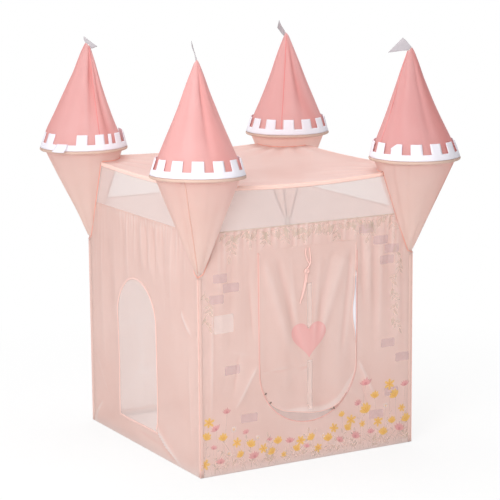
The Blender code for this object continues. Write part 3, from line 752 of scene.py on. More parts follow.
# %% The walls' folds
# (place along, sideways drift, width, depth, start below the seam, length)
WALL_FOLDS = {
    "front": [
        (-0.385, 0.01, 0.02, 0.0028, 0.02, 0.55), (-0.33, -0.008, 0.014, -0.0024, 0.01, 0.5),
        (-0.265, 0.004, 0.02, -0.0032, 0.05, 0.7), (-0.18, 0.015, 0.03, 0.0036, 0.04, 0.75),
        (-0.06, -0.03, 0.025, -0.0028, 0.02, 0.5), (0.075, 0.02, 0.03, 0.0032, 0.05, 0.4),
        (0.165, -0.06, 0.026, -0.004, 0, 0.55), (0.215, -0.01, 0.012, 0.004, -0.01, 0.36),
        (0.243, 0.005, 0.009, -0.0036, -0.01, 0.4), (0.268, 0.012, 0.011, 0.004, -0.01, 0.5),
        (0.3, 0.004, 0.012, -0.0036, -0.01, 0.55), (0.328, -0.006, 0.011, 0.0036, 0, 0.6),
        (0.362, 0.008, 0.014, -0.0032, 0.02, 0.55), (0.4, 0.014, 0.014, 0.0032, 0.04, 0.6),
        (0.43, 0, 0.01, -0.0024, 0.06, 0.65),
    ],
    "left": [
        (-0.36, 0.02, 0.016, 0.004, 0.12, 0.65), (-0.3, 0.01, 0.02, -0.0035, 0.02, 0.5),
        (-0.235, 0.01, 0.02, 0.004, 0.02, 0.6), (-0.16, 0.006, 0.016, -0.004, 0, 0.35),
        (-0.105, -0.01, 0.014, 0.0045, 0, 0.3), (-0.04, 0.012, 0.014, -0.0042, 0, 0.26),
        (0.01, 0.016, 0.01, 0.005, 0, 0.24), (0.045, 0.012, 0.008, -0.005, 0, 0.22),
        (0.08, 0.01, 0.009, 0.005, 0, 0.24), (0.115, 0.012, 0.008, -0.0046, 0, 0.25),
        (0.15, 0.008, 0.01, 0.0046, 0, 0.22), (0.195, 0.006, 0.01, -0.004, 0, 0.3),
        (0.25, 0.002, 0.014, 0.0035, 0, 0.4), (0.33, -0.006, 0.02, -0.0035, 0.05, 0.55),
    ],
    "back": [
        (-0.34, 0.01, 0.02, 0.004, 0.02, 0.6), (-0.255, -0.012, 0.014, -0.004, 0, 0.4),
        (-0.19, 0.008, 0.014, 0.0045, 0, 0.35), (-0.12, 0.012, 0.018, -0.0035, 0, 0.55),
        (-0.03, -0.01, 0.016, 0.0045, 0.01, 0.45), (0.05, 0.014, 0.012, -0.0045, 0, 0.3),
        (0.105, 0.006, 0.012, 0.0045, 0, 0.4), (0.19, 0.01, 0.02, -0.004, 0.02, 0.5),
        (0.285, -0.008, 0.018, 0.004, 0.01, 0.6), (0.36, 0.006, 0.016, -0.0035, 0.04, 0.5),
    ],
    "right": [
        (-0.35, 0.008, 0.018, 0.004, 0.05, 0.6), (-0.27, -0.006, 0.014, -0.004, 0, 0.45),
        (-0.205, 0.01, 0.012, 0.0048, 0, 0.3), (-0.16, 0.01, 0.01, -0.0045, 0, 0.28),
        (-0.11, 0.004, 0.012, 0.004, 0, 0.26), (-0.03, -0.01, 0.016, -0.004, 0, 0.24),
        (0.045, 0.01, 0.012, 0.0045, 0, 0.24), (0.12, 0.014, 0.016, -0.004, 0, 0.35),
        (0.23, -0.004, 0.018, 0.004, 0, 0.55), (0.32, 0.006, 0.018, -0.0035, 0.03, 0.6),
    ],
}
# Sharp creases from the tent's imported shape: both ends as (along, height), then width and depth
WALL_CREASES = {
    "front": [
        ((-0.222, 0.41), (-0.327, 0.24), 0.022, 0.0085), ((-0.3, 0.46), (-0.33, 0.3), 0.026, -0.007),
        ((0.225, 0.37), (0.31, 0.2), 0.018, 0.0075), ((0.235, 0.3), (0.29, 0.14), 0.022, -0.006),
        ((-0.415, 0.7), (-0.425, 0.2), 0.012, 0.0045), ((-0.255, 0.72), (-0.24, 0.5), 0.014, -0.005),
    ],
    "left": [
        ((0.108, 0.12), (0.345, -0.01), 0.01, 0.017), ((0.33, 0.62), (0.425, 0.535), 0.01, 0.009),
        ((-0.465, -0.01), (-0.365, 0.115), 0.014, 0.008), ((0.4, 0.46), (0.405, 0.1), 0.016, 0.0035),
        ((-0.05, 0.06), (0.2, 0.045), 0.016, -0.003), ((-0.42, 0.3), (-0.3, 0.12), 0.016, 0.003),
    ],
    "back": [
        ((0.244, 0), (0.244, 0.56), 0.01, -0.003), ((-0.244, 0), (-0.244, 0.56), 0.01, -0.003),
        ((-0.44, 0.395), (0.44, 0.4), 0.01, -0.003), ((-0.44, 0.18), (0.44, 0.178), 0.01, -0.003),
    ],
    "right": [
        ((-0.235, 0.215), (-0.425, 0.02), 0.012, 0.0045), ((0.3, 0.2), (0.42, 0.04), 0.012, 0.0035),
    ],
}
# Painted light all along the foot of each wall, to lighten the shade on the hem
HEM_PAINTED_LIGHT = ((-1.6, 0.002), (1.6, 0.002), 0.03, 1.2)
# Painted highlights along creases, and the painted light at the foot: both ends as (along, height), then
# width and strength
PAINTED_LIGHT_LINES = {
    "left": (
        HEM_PAINTED_LIGHT,
        ((0.118, 0.114), (0.345, -0.01), 0.007, 1.9), ((0.33, 0.62), (0.425, 0.535), 0.006, 0.8),
        ((-0.465, -0.01), (-0.365, 0.115), 0.007, 0.4),
    ),
    "front": (
        HEM_PAINTED_LIGHT,
        ((-0.222, 0.41), (-0.327, 0.24), 0.013, 0.3), ((0.225, 0.37), (0.31, 0.2), 0.01, 0.3),
    ),
    "right": (HEM_PAINTED_LIGHT,),
    "back": (
        HEM_PAINTED_LIGHT,
        ((0.244, 0), (0.244, 0.56), 0.007, 2.0), ((-0.244, 0), (-0.244, 0.56), 0.007, 2.0),
        ((-0.6, 0.395), (0.6, 0.4), 0.007, 1.8), ((-0.6, 0.18), (0.6, 0.178), 0.007, 1.8),
        ((0.244, 0.2), (0.14, 0.03), 0.007, 1.5), ((0.244, 0.2), (0.36, 0.03), 0.007, 1.5),
        ((-0.244, 0.2), (-0.14, 0.03), 0.007, 1.5), ((-0.244, 0.2), (-0.36, 0.03), 0.007, 1.5),
    ),
}


def beside(spot, start, stop):
    """How far along a line a spot lies, as a share of its length, and how far off the line."""
    step, reach = spot - Vector(start), Vector(stop) - Vector(start)
    share = step.dot(reach) / reach.length_squared
    return share, (step - reach * min(max(share, 0), 1)).length


def paint_light_lines(piece, side):
    """Adds the painted highlight lines to what note_folds has noted."""
    ahead = side_point(side, 1, 0, 0)

    def painted_light(place):
        total = 0.0
        for start, stop, width, strength in PAINTED_LIGHT_LINES[side]:
            share, off = beside(Vector((place.dot(ahead), place.z)), start, stop)
            total += strength * bell(off / width) * hump(share)
        return total

    note_more(piece, painted_light)


print("Folds:", {side: len(rows) for side, rows in WALL_FOLDS.items()})

# %% The walls' surface
# The fine pleats right under the seam, 1 to 2 cm apart, fade out within a hand's width
GATHERS, GATHER_LENGTH = 0.0085, 0.13
# A fold is left out beyond so many of its own widths
FOLD_END, CREASE_END = 2.6, 4


def fold_depth(side, along, height):
    """How far a wall stands out from its flat plane."""
    drop = SEAM_HEIGHT - height
    depth = 0.0
    for at, drift, width, size, start, length in WALL_FOLDS[side]:
        run = (drop - start) / length
        if 0 < run < 1:
            off = (along - at - drift * run) / (width * (1 + run))
            if abs(off) < FOLD_END:
                depth += size * bell(off) * hump(run)
    for start, stop, width, size in WALL_CREASES[side]:
        share, off = beside(Vector((along, height)), start, stop)
        if off < CREASE_END * width:
            depth += size * math.exp(-off / width) * hump(min(max(share, 0), 1) * 0.9 + 0.05)
    # Gathers, then broad and finer unevenness all over. The corners and the foot stay put
    seed = SIDES.index(side) * 7.3
    pinch = GATHERS * noise.noise(Vector((along * 62 + 2.5 * drop, drop * 5, seed + 20)))
    uneven = 0.55 + 0.9 * noise.noise(Vector((along * 6, 0, seed + 40)))
    pinch *= uneven * math.exp(-drop / GATHER_LENGTH)
    depth += 0.005 * noise.noise(Vector((along * 5.5, height * 1.7, seed)))
    depth += 0.0016 * noise.noise(Vector((along * 16, height * 7, seed + 3)))
    steady = ease((HALF - abs(along)) / 0.05) * ease((height - 0.012) / 0.05)
    return (depth * ease(drop / 0.02) + pinch * ease(drop / 0.007)) * steady


def wall_point(side, along, height, lift=0.0):
    """A point on a wall, lifted off its outer face."""
    return side_point(side, along, HALF + fold_depth(side, along, height) + lift, height)


print("The front wall's middle stands out", round(wall_point("front", 0, 0.5).y, 4))

# %% [markdown]
# ## Where cloth meets a tower
# Walls, net and roof are all cut away where a tower's skirt goes through them. The skirt is a cone, so
# the cut line is found by asking how far a point is from the cone.

# %% Where cloth meets a tower
SKIRT_SLOPE = (SKIRT_TOP_RADIUS - SKIRT_FOOT_RADIUS) / (SKIRT_TOP_HEIGHT - SKIRT_FOOT_HEIGHT)
HALVINGS = 26
# How far outside a skirt the cloth is cut
TOWER_GAP = 0.0006


def skirt_radius(height):
    """A skirt's radius, which falls away steeply below its foot."""
    if height < SKIRT_FOOT_HEIGHT:
        return SKIRT_FOOT_RADIUS - 4 * (SKIRT_FOOT_HEIGHT - height)
    return SKIRT_FOOT_RADIUS + SKIRT_SLOPE * (height - SKIRT_FOOT_HEIGHT)


def tower_room(corner, point):
    """How far a point is outside the cut round a tower's skirt, seen from above."""
    middle = tower_axis(corner, point.z)
    step = Vector((point.x - middle.x, point.y - middle.y))
    lift = HOOP_TILTS[corner] * step.dot(CORNERS[corner]) / math.sqrt(2)
    return step.length - skirt_radius(point.z - lift) - TOWER_GAP


def inside_towers(point):
    return max(-tower_room(corner, point) for corner in CORNERS)


def tower_edge(side, end, height):
    """How far along a side its cloth runs at a height before it meets the tower at that end, -1 or 1."""
    low, high = 0.2, HALF
    corner = min(CORNERS, key=lambda c: (CORNERS[c] - side_point(side, end, 1, 0).xy).length)
    for _ in range(HALVINGS):
        middle = (low + high) / 2
        if tower_room(corner, side_point(side, end * middle, HALF, height)) > 0:
            low = middle
        else:
            high = middle
    return end * low


print("Front cloth at the seam runs to", [round(tower_edge("front", end, SEAM_HEIGHT), 3) for end in (-1, 1)])

# %% [markdown]
# ## Openings
# The door is a U-shaped opening, and each side wall has an arched window. Both are drawn as a distance:
# below 0 inside the opening and above 0 outside it. The same distance cuts the wall, the flap and the
# net.

# %% Openings
DOOR_HALF = 0.2165
DOOR_TOP = 0.845
DOOR_BOTTOM = 0.158
FLAP_TOP = 0.8427
FLAP_BOTTOM = 0.183
WINDOW_HALF = 0.165
WINDOW_FOOT = 0.092
WINDOW_TOP = 0.672
WINDOW_PLACE = {"left": -0.045, "right": 0.045}
HEART_MIDDLE = 0.475
HEART_WIDTH = 0.152
HEART_HEIGHT = 0.141
HEART_LAP = 0.004
HEART_CORNERS = 56


def u_distance(along, height, half, bottom, top):
    """Distance from a U: straight sides, a round foot and a flat top."""
    spring = bottom + half
    if height < spring:
        return math.hypot(along, height - spring) - half
    return max(abs(along) - half, height - top)


def arch_distance(along, height, side, grow=0.0):
    along -= WINDOW_PLACE[side]
    spring = WINDOW_TOP - WINDOW_HALF
    if height > spring:
        return math.hypot(along, height - spring) - WINDOW_HALF - grow
    return max(abs(along) - WINDOW_HALF, WINDOW_FOOT - height) - grow


def heart_points():
    """The heart's outline. Its formula gives a heart 29 units high, whose middle is 2.5 units below 0."""
    points = []
    for k in range(HEART_CORNERS):
        angle = 2 * math.pi * k / HEART_CORNERS
        up = 13 * math.cos(angle) - 5 * math.cos(2 * angle) - 2 * math.cos(3 * angle) - math.cos(4 * angle)
        along = HEART_WIDTH / 2 * math.sin(angle) ** 3
        points.append(Vector((along, HEART_MIDDLE + HEART_HEIGHT / 29 * (up + 2.5))))
    return points


HEART_OUTLINE = heart_points()


def heart_distance(along, height):
    """Distance from the heart's outline, below 0 inside it."""
    spot = Vector((along, height))
    nearest, inside = 1.0, False
    for p, q in zip(HEART_OUTLINE, HEART_OUTLINE[1:] + HEART_OUTLINE[:1]):
        reach = q - p
        if reach.length_squared:
            nearest = min(nearest, beside(spot, p, q)[1])
            if (p.y > height) != (q.y > height) and along < p.x + (height - p.y) / reach.y * reach.x:
                inside = not inside
    return -nearest if inside else nearest


print("The heart's outline has", len(HEART_OUTLINE), "points")

# %% [markdown]
# ## Walls
# Each wall is one sheet from the net's seam down to the floor, where it folds up inside round the rods as
# a hem. It is cut back along the two towers and round its door or window. The inner part of the hem stops
# short of the corner sockets.

# %% Walls
HEM_DEPTH = 0.0174
HEM_HEIGHT = 0.028
HEM_REACH = 0.42
HEM_START = -(HEM_DEPTH + HEM_HEIGHT)
FOOT = 0.0012
# The wall's foot turns inward from HEM_TURN to HEM_FLAT, which brings it in by HEM_ROUND
HEM_TURN, HEM_FLAT, HEM_ROUND = 0.003, -0.004, 0.0025
# The left and right walls end a little short of the front and back ones
LAP = 0.0018
# How far apart a wall's points are across and up, closer where the photographer stood
WALL_GRIDS = {
    "front": (0.0044, 0.006),
    "left": (0.0044, 0.0075),
    "right": (0.006, 0.0075),
    "back": (0.006, 0.0075),
}


def side_reach(side):
    return HALF if side in ("front", "back") else HALF - LAP


def hem_place(up):
    """(depth inward, height) of a place on the wall. Below 0 it is on the hem folded under and up inside."""
    if up > HEM_TURN:
        return 0, up
    if up > HEM_FLAT:
        turn = (HEM_TURN - up) / (HEM_TURN - HEM_FLAT) * math.pi / 2
        return HEM_ROUND * (1 - math.cos(turn)), FOOT + (HEM_TURN - FOOT) * (1 - math.sin(turn))
    rise = HEM_TURN - HEM_DEPTH - up
    if rise < 0:
        return -up, FOOT
    return HEM_DEPTH - HEM_ROUND * math.exp(-rise / HEM_TURN), FOOT + rise


def wall_shape(side):
    def shape(along, up):
        if up < HEM_FLAT:
            return abs(along) - HEM_REACH
        cut = inside_towers(side_point(side, along, HALF, up)) if up > 0.7 else -1
        if side == "front":
            cut = max(cut, -u_distance(along, up, DOOR_HALF, DOOR_BOTTOM, DOOR_TOP))
        if side in WINDOW_PLACE:
            cut = max(cut, -arch_distance(along, up, side))
        return cut

    return shape


def lay_wall(side):
    def place(along, up):
        depth, height = hem_place(up)
        if depth:
            return side_point(side, along, HALF - depth, height)
        return wall_point(side, along, height)

    reach = side_reach(side)
    step_across, step_up = WALL_GRIDS[side]
    across = rows_between(-reach, reach, step_across)
    up = rows_between(HEM_START, -0.006, 0.006) + rows_between(HEM_FLAT, 0.006, 0.002)
    up += rows_between(0.006, SEAM_HEIGHT, step_up)[1:]
    piece = cut_cloth(f"cloth_wall_{side}", across, up, place, peach, wall_shape(side))
    # Painted highlights along the creases and painted light along the foot
    paint_light_lines(piece, side)
    belong(piece, "tent", "peach_cloth", f"wall_{side}")


for side_name in SIDES:
    lay_wall(side_name)

# %% [markdown]
# ## Net panels
# Between the walls and the roof runs a row of net. It is stretched between two towers, with its upper
# edge on the roof's sagging edge.

# %% Net panels
# How far the roof hangs down at the middle of each side
SAGS = {"front": 0.024, "back": 0.015, "left": 0.015, "right": 0.015}


def roof_height(x, y):
    """The roof hangs like a cloth held at its four corners, deepest at the middle of each edge."""
    s, t = x / BASE_WIDTH + 0.5, y / BASE_WIDTH + 0.5
    across = SAGS["left"] * 4 * t * (1 - t)
    along = (SAGS["front"] + (SAGS["back"] - SAGS["front"]) * t) * 4 * s * (1 - s)
    return ROOF_HEIGHT - across - along


def lay_net(side):
    def place(along, up):
        share = (up - SEAM_HEIGHT) / (ROOF_HEIGHT - SEAM_HEIGHT)
        edge = side_point(side, along, HALF, 0)
        top = roof_height(edge.x, edge.y) - 0.001
        billow = 0.0025 * noise.noise(Vector((along * 6, up * 6, SIDES.index(side) * 5.0))) * hump(share)
        return side_point(side, along, HALF + billow, SEAM_HEIGHT + (top - SEAM_HEIGHT) * share)

    def shape(along, up):
        return inside_towers(place(along, up))

    across = rows_between(-side_reach(side), side_reach(side), 0.012)
    up = rows_between(SEAM_HEIGHT, ROOF_HEIGHT, 0.012)
    piece = cut_cloth(f"cloth_net_{side}", across, up, place, net, shape)
    belong(piece, "tent", "white_net", f"mesh_{side}")


for side_name in SIDES:
    lay_net(side_name)

# %% [markdown]
# ## Roof
# The roof is one square sheet that sags a little between the towers. Faint pulls run in from the corners,
# because each tower draws the cloth its way.


def roof_point(x, y):
    height = roof_height(x, y)
    edge = ease((HALF - max(abs(x), abs(y))) / 0.08)
    pull = 0.0
    for out in CORNERS.values():
        step = Vector((x, y)) - out * UPRIGHT_PLACE
        far = step.length
        angle = math.atan2(step.y, step.x)
        pull += 0.0035 * math.cos(angle * 18) * bell((far - 0.24) / 0.1)
    soft = 0.008 * noise.noise(Vector((x * 4, y * 4, 2.2)))
    return Vector((x, y, height + (pull + soft) * edge))


def lay_roof():
    def shape(x, y):
        return inside_towers(roof_point(x, y))

    steps = rows_between(-BASE_WIDTH / 2, BASE_WIDTH / 2, 0.009)
    piece = cut_cloth("cloth_roof", steps, steps, roof_point, roof_peach, shape)
    belong(piece, "tent", "peach_cloth", "roof_panel")


lay_roof()

# %% [markdown]
# ## Tower skirts
# A skirt is a cone standing on its point. Its cloth is cut as a fan, so its UV map is that fan. It has a
# few long soft folds from the brim to the point, and right under the brim it turns outward to reach the
# hoop.

# %% Tower skirts
SKIRT_FOLDS = {
    "front_left": ((-52, 16, 0.003), (-20, 10, -0.002), (12, 14, 0.003), (38, 12, -0.003), (62, 12, 0.003)),
    "front_right": ((-50, 14, 0.003), (-22, 12, -0.0028), (8, 14, 0.0026), (40, 12, -0.003), (66, 10, 0.002)),
    "back_right": ((-40, 14, 0.003), (-8, 8, -0.0028), (16, 14, 0.003), (50, 12, -0.003), (76, 12, 0.003)),
    "back_left": ((-60, 14, 0.003), (-30, 12, -0.003), (4, 16, 0.003), (32, 10, -0.003), (58, 12, 0.002)),
}
# How far the skirt turns out under the brim, and how much it rises there
BRIM_REACH, BRIM_RISE = 0.014, 0.002


def turn_off(angle, middle):
    """The shortest turn from one angle to another, in radians."""
    return (angle - middle + math.pi) % (2 * math.pi) - math.pi


def round_folds(corner, folds, angle):
    """Soft folds round a tower, each (degrees right of the front, width in degrees, depth)."""
    depth = 0.0
    for at, width, size in folds:
        off = turn_off(angle, facing(corner) + math.radians(at)) / math.radians(width)
        depth += size * bell(off)
    return depth


def paint_light_stripes(piece, corner, stripes, foot, top):
    """Adds stripes down a tower, painted light where above 0 and painted shade where below 0, to what
    note_folds has noted.
    """

    def striped(place):
        share = (place.z - foot) / (top - foot)
        reach = place.xy - tower_axis(corner, place.z)
        angle = math.atan2(reach.y, reach.x) - facing(corner)
        total = 0.0
        for low, high, width, strength in stripes:
            off = turn_off(angle, math.radians(low + (high - low) * share)) / math.radians(width)
            total += strength * bell(off)
        return total

    note_more(piece, striped)


def fan(slope, point):
    """The flat cut of a cone whose point is at a height: a fan round that point."""
    lean, rate = math.sin(math.atan(slope)), 1 / math.cos(math.atan(slope))

    def flat(angle, height):
        slant = abs(height - point) * rate
        return slant * math.cos(angle * lean), slant * math.sin(angle * lean)

    return flat


def skirt_place(corner):
    seed = corner_number(corner) * 3.7

    def place(angle, up):
        share = (up - SKIRT_FOOT_HEIGHT) / (SKIRT_TOP_HEIGHT - SKIRT_FOOT_HEIGHT)
        if up > SKIRT_TOP_HEIGHT:
            out = up - SKIRT_TOP_HEIGHT
            rise = BRIM_RISE * out / BRIM_REACH
            return tower_point(corner, SKIRT_TOP_RADIUS + out, angle, SKIRT_TOP_HEIGHT + rise)
        folds = round_folds(corner, SKIRT_FOLDS[corner], angle)
        soft = 0.004 * ring_noise(angle, 2, up * 5 + seed)
        return tower_point(corner, max(skirt_radius(up) + (folds + soft) * hump(share), 0.0008), angle, up)

    return place


# Painted light and painted shade in stripes down each skirt: degrees right of the front at its foot and at
# its top, width in degrees, and strength, which is above 0 where light is painted and below 0 where shade is
SKIRT_LIGHT_AND_SHADE = {
    "front_left": ((60, 60, 34, 0.9),),
    "front_right": ((84, 84, 28, -1.5), (-60, -60, 30, 0.6)),
    "back_right": ((0, 0, 90, 1.0),),
    "back_left": (),
}


def lay_skirt(corner):
    flat = fan(SKIRT_SLOPE, SKIRT_FOOT_HEIGHT - SKIRT_FOOT_RADIUS / SKIRT_SLOPE)
    angles = rows_between(0, 2 * math.pi, math.radians(4))
    up = [SKIRT_FOOT_HEIGHT - 0.0028] + rows_between(SKIRT_FOOT_HEIGHT, SKIRT_TOP_HEIGHT, 0.012)
    up += rows_between(SKIRT_TOP_HEIGHT, SKIRT_TOP_HEIGHT + BRIM_REACH, 0.005)[1:]
    # The far skirt takes the paler copy of the cloth, as painted light
    finish = lit_far_peach if corner == "back_right" else skirt_peach
    piece = cut_cloth(f"cloth_skirt_{corner}", angles, up, skirt_place(corner), finish, flat=flat)
    # Painted light and painted shade in stripes down the skirt
    paint_light_stripes(piece, corner, SKIRT_LIGHT_AND_SHADE[corner], SKIRT_FOOT_HEIGHT, SKIRT_TOP_HEIGHT)
    belong(piece, "tent", "sheer_skirt", f"tower_skirt_{corner}")


for corner_name in CORNERS:
    lay_skirt(corner_name)

# %% [markdown]
# ## Brims
# Round each hoop the cloth is sewn into a tunnel, and a cream tape covers it. It is a plump, slightly
# uneven roll, with one short cross seam where its ends meet.

# %% Brims
# Where the ends of each tape meet, in degrees right of the front
BRIM_SEAMS = {"front_left": 100, "front_right": 60, "back_right": -18, "back_left": 120}
BRIM_STEPS = 96
# Half the roll's height and half its width
BRIM_HALF, BRIM_WIDE = 0.0064, 0.0062


def brim_run(corner):
    path, outs = [], []
    for k in range(BRIM_STEPS):
        angle = 2 * math.pi * k / BRIM_STEPS
        wave = 0.0012 * ring_noise(angle, 4, 1.0)
        path.append(tower_point(corner, HOOP_RADIUS, angle, HOOP_HEIGHT + wave))
        outs.append(heading(angle))
    return path, outs


def brim_seam(corner):
    middle = facing(corner) + math.radians(BRIM_SEAMS[corner])
    spot = tower_point(corner, HOOP_RADIUS, middle, HOOP_HEIGHT)
    outs = []
    for turn in rows_between(math.radians(-110), math.radians(110), math.radians(18)):
        outs.append(heading(middle) * math.cos(turn) + Vector((0, 0, 1)) * math.sin(turn))
    return [spot + out * (BRIM_HALF + 0.0001) for out in outs], outs


roll = [(aside * BRIM_WIDE / BRIM_HALF, out) for aside, out in round_section(BRIM_HALF, 12)]
for corner_name in CORNERS:
    sewn_piece(
        f"brim_{corner_name}", [brim_run(corner_name)], roll, brim_cream, slot="cream_plastic", closed=True
    )
brim_seams = [brim_seam(corner_name) for corner_name in CORNERS]
sewn_piece("brim_seams", brim_seams, tape_section(0.0022, 0.0005), grey_seam, slot="cream_plastic")

# %% [markdown]
# ## Tower roofs
# The pink roofs are cut as fans too. Their cloth is firmer than the skirts', drawn tight between hoop and
# tip, so the folds are long, straight creases that start together at the tip. Above the cap inside, the
# seam is pinched to a point, and on two towers it leans over a good deal. The back left tower's roof has
# slipped to one side as well.

# %% Tower roofs
CONE_SLOPE = (CONE_BASE_RADIUS - TIP_RADIUS) / (TIP_MIDDLE - CONE_FOOT)
# The point round which a pointed roof's cloth is cut as a fan
CONE_POINT = TOWER_HEIGHT + 0.012
ROOF_FOLDS = {
    "front_left": ((-70, 10, 0.004), (-36, 12, -0.003), (-8, 16, 0.006), (20, 7, -0.007), (46, 14, 0.004)),
    "front_right": ((-64, 12, 0.003), (-30, 12, -0.003), (0, 18, 0.005), (30, 9, -0.006), (58, 12, 0.003)),
    "back_right": ((-60, 14, 0.004), (-10, 8, -0.004), (12, 10, 0.005), (30, 8, -0.006), (60, 12, 0.003)),
    "back_left": ((-14, 18, 0.006), (14, 8, -0.009), (30, 7, 0.006), (44, 6, -0.005), (56, 8, 0.005)),
}
# Slipped sideways: wide swellings, each (degrees right of the front, width in degrees, depth)
SLIPPED = {"back_left": ((-85, 42, 0.012), (88, 34, -0.012))}
# How far each tip leans to the right, and how wide it is pinched
TIP_LEANS = {"front_left": 0.003, "front_right": 0.009, "back_right": -0.003, "back_left": -0.01}
TIP_PEAK = 0.0135
BACK_FOLDS = ((110, 16, 0.005), (145, 12, -0.005), (180, 16, 0.005), (-145, 12, -0.005), (-105, 14, 0.004))


def roof_place(corner):
    seed = corner_number(corner) * 5.1
    rightward = math.atan2(RIGHTWARD.y, RIGHTWARD.x)

    def place(angle, up):
        lean = TIP_LEANS[corner]
        sideways = RIGHTWARD * max(lean * math.cos(angle - rightward), 0) * (1 if lean > 0 else -1)
        if up > TIP_MIDDLE:
            turn = min((up - TIP_MIDDLE) / TIP_RADIUS, 1)
            radius = TIP_RADIUS * (1 - turn) ** 0.8 + 0.00001
            tip = tower_point(corner, radius, angle, TIP_MIDDLE + TIP_PEAK * turn)
            return tip + sideways * (1 - turn) + RIGHTWARD * lean * turn
        share = (up - CONE_FOOT) / (TIP_MIDDLE - CONE_FOOT)
        folds = round_folds(corner, ROOF_FOLDS[corner] + BACK_FOLDS, angle)
        slip = round_folds(corner, SLIPPED.get(corner, ()), angle) * hump(share * 0.9 + 0.06)
        fade = ease(share * 2.2 + 0.15) * ease((1 - share) * 3.2)
        waist = -0.006 * math.sin(math.pi * share)
        soft = 0.004 * ring_noise(angle, 2.4, up * 4 + seed)
        wrinkle = 0.0015 * noise.noise(Vector((angle * 3, up * 9 + angle * 2, seed)))
        radius = CONE_BASE_RADIUS - CONE_SLOPE * (up - CONE_FOOT)
        spot = tower_point(corner, radius + slip + (folds + waist + soft + wrinkle) * fade, angle, up)
        return spot + sideways * ease((up - TIP_MIDDLE) / 0.12 + 1)

    return place


# Painted shade down each pointed roof: a painted shadow beside its main fold, and darker edges where it turns
# away from the light, written as for the skirts
ROOF_PAINTED_SHADE = {
    "front_left": ((38, 30, 22, -1.7), (-84, -84, 26, -1.4)),
    "front_right": ((60, 60, 22, -2.0),),
    "back_right": ((52, 8, 14, -1.9), (-84, -84, 24, -0.9)),
    "back_left": ((44, 8, 14, -2.2), (-84, -84, 26, -1.4)),
}


def lay_tower_roof(corner):
    flat = fan(CONE_SLOPE, CONE_POINT)
    angles = rows_between(0, 2 * math.pi, math.radians(3))
    up = rows_between(CONE_FOOT, TIP_MIDDLE, 0.01) + rows_between(TIP_MIDDLE, TOWER_HEIGHT, 0.0022)[1:]
    # The front right tower takes the darker copy of the rose cloth, as painted shade
    finish = shaded_rose if corner == "front_right" else rose
    piece = cut_cloth(f"cloth_tower_roof_{corner}", angles, up, roof_place(corner), finish, flat=flat)
    # Painted shade in stripes down the roof
    paint_light_stripes(piece, corner, ROOF_PAINTED_SHADE[corner], CONE_FOOT, TOWER_HEIGHT)
    belong(piece, "tent", "pink_cloth", f"tower_roof_{corner}")


for corner_name in CORNERS:
    lay_tower_roof(corner_name)

# %% [markdown]
# ## Battlements
# A white band of felt is sewn round the foot of each tower roof, with thirteen merlons that lean in a
# little less than the roof does. On two towers one merlon has flopped over.

# %% Battlements
MERLONS = 13
MERLON_WIDTH = 16.0
BAND_RADIUS = 0.1752
BAND_STRIP = 0.023
BAND_HEIGHT = 0.062
BAND_LEAN = 0.306
BAND_THICKNESS = 0.0016
BAND_TURNS = {"front_left": 0.5, "front_right": 3.6, "back_right": 2.4}
# The back left tower's band is dented, so its merlons stand unevenly: (degrees right of the front, width)
UNEVEN = (
    (-56, 16), (-30, 16), (-3.3, 15.5), (22.5, 14), (39, 6), (56, 14), (83, 16),
    (110, 16), (138, 16), (166, 16), (194, 16), (222, 16), (250, 16), (277, 16),
)
# (where, half its width, turned over by so many degrees from this share of its height)
FLOPPED = {"back_left": (-30, 9, 128, 0.0), "front_right": (-24, 9, 0, 0.4)}


def merlon_table(corner):
    if corner == "back_left":
        return UNEVEN
    return [(BAND_TURNS[corner] + 360 / MERLONS * k, MERLON_WIDTH) for k in range(MERLONS)]


def band_place(corner):
    start = facing(corner)
    at, half, bend, share = FLOPPED.get(corner, (0, 0, 0, 0))
    hinge = BAND_STRIP + share * (BAND_HEIGHT - BAND_STRIP)

    def place(turn, up):
        off = turn_off(turn, math.radians(at))
        height, out = up, 0.0
        if abs(off) < math.radians(half) and up > hinge:
            over = up - hinge
            if bend:
                turned = math.radians(bend) * min(1, over / 0.014)
                height, out = hinge + over * math.cos(turned), over * math.sin(turned) + 0.002
            elif off < 0:
                dropped = -off / math.radians(half) * over
                height, out = up - dropped * 0.75, dropped * 0.2
        number = round(math.degrees(turn) / 14)
        sway = 0.0022 * noise.noise(Vector((number * 3.1, 0.5, len(corner)))) * max(0, up - BAND_STRIP) / 0.02
        wobble = 0.0014 * ring_noise(turn, 5, up * 20)
        radius = BAND_RADIUS - BAND_LEAN * height + out + sway + wobble
        return tower_point(corner, radius, start + turn, CONE_FOOT + height)

    return place


def lay_band(corner):
    table = sorted(merlon_table(corner))
    turns, kept = [], []
    onward = [*table[1:], (table[0][0] + 360, table[0][1])]
    for (at, width), (following, wide) in zip(table, onward):
        low, high, gap = at - width / 2, at + width / 2, following - wide / 2
        turns += [math.radians(low + (high - low) * k / 6) for k in range(6)]
        turns += [math.radians(high + (gap - high) * k / 3) for k in range(3)]
        kept.append((math.radians(low), math.radians(high)))
    turns.append(turns[0] + 2 * math.pi)

    def band_shape(turn, up):
        return 1 if up > BAND_STRIP and not any(low < turn < high for low, high in kept) else -1

    up = rows_between(0, BAND_STRIP, 0.006) + rows_between(BAND_STRIP, BAND_HEIGHT, 0.004)[1:]
    piece = cut_cloth(
        f"cloth_battlement_{corner}",
        turns,
        up,
        band_place(corner),
        felt,
        shape=band_shape,
        flat=lambda turn, height: (turn * BAND_RADIUS, height),
        slide=False,
    )
    thicken(piece, BAND_THICKNESS)
    belong(piece, "tent", "white_cloth", f"battlement_{corner}")


for corner_name in CORNERS:
    lay_band(corner_name)

# %% [markdown]
# ## Pennants
# Each tip flies a small grey pennant: a four-sided scrap of felt whose short side is sewn into the tip.
# They point four ways, two of them almost edge-on to the camera. It is easiest to note their corners as
# an onlooker sees them, so each corner is given as millimetres to the right, up, and away from the
# camera, from the tip's joint. Each moves with its own body, which turns about its tower's tip.

# %% Pennants
JOINT_HEIGHT = TOWER_HEIGHT + 0.0014
PENNANT_THICKNESS = 0.0014
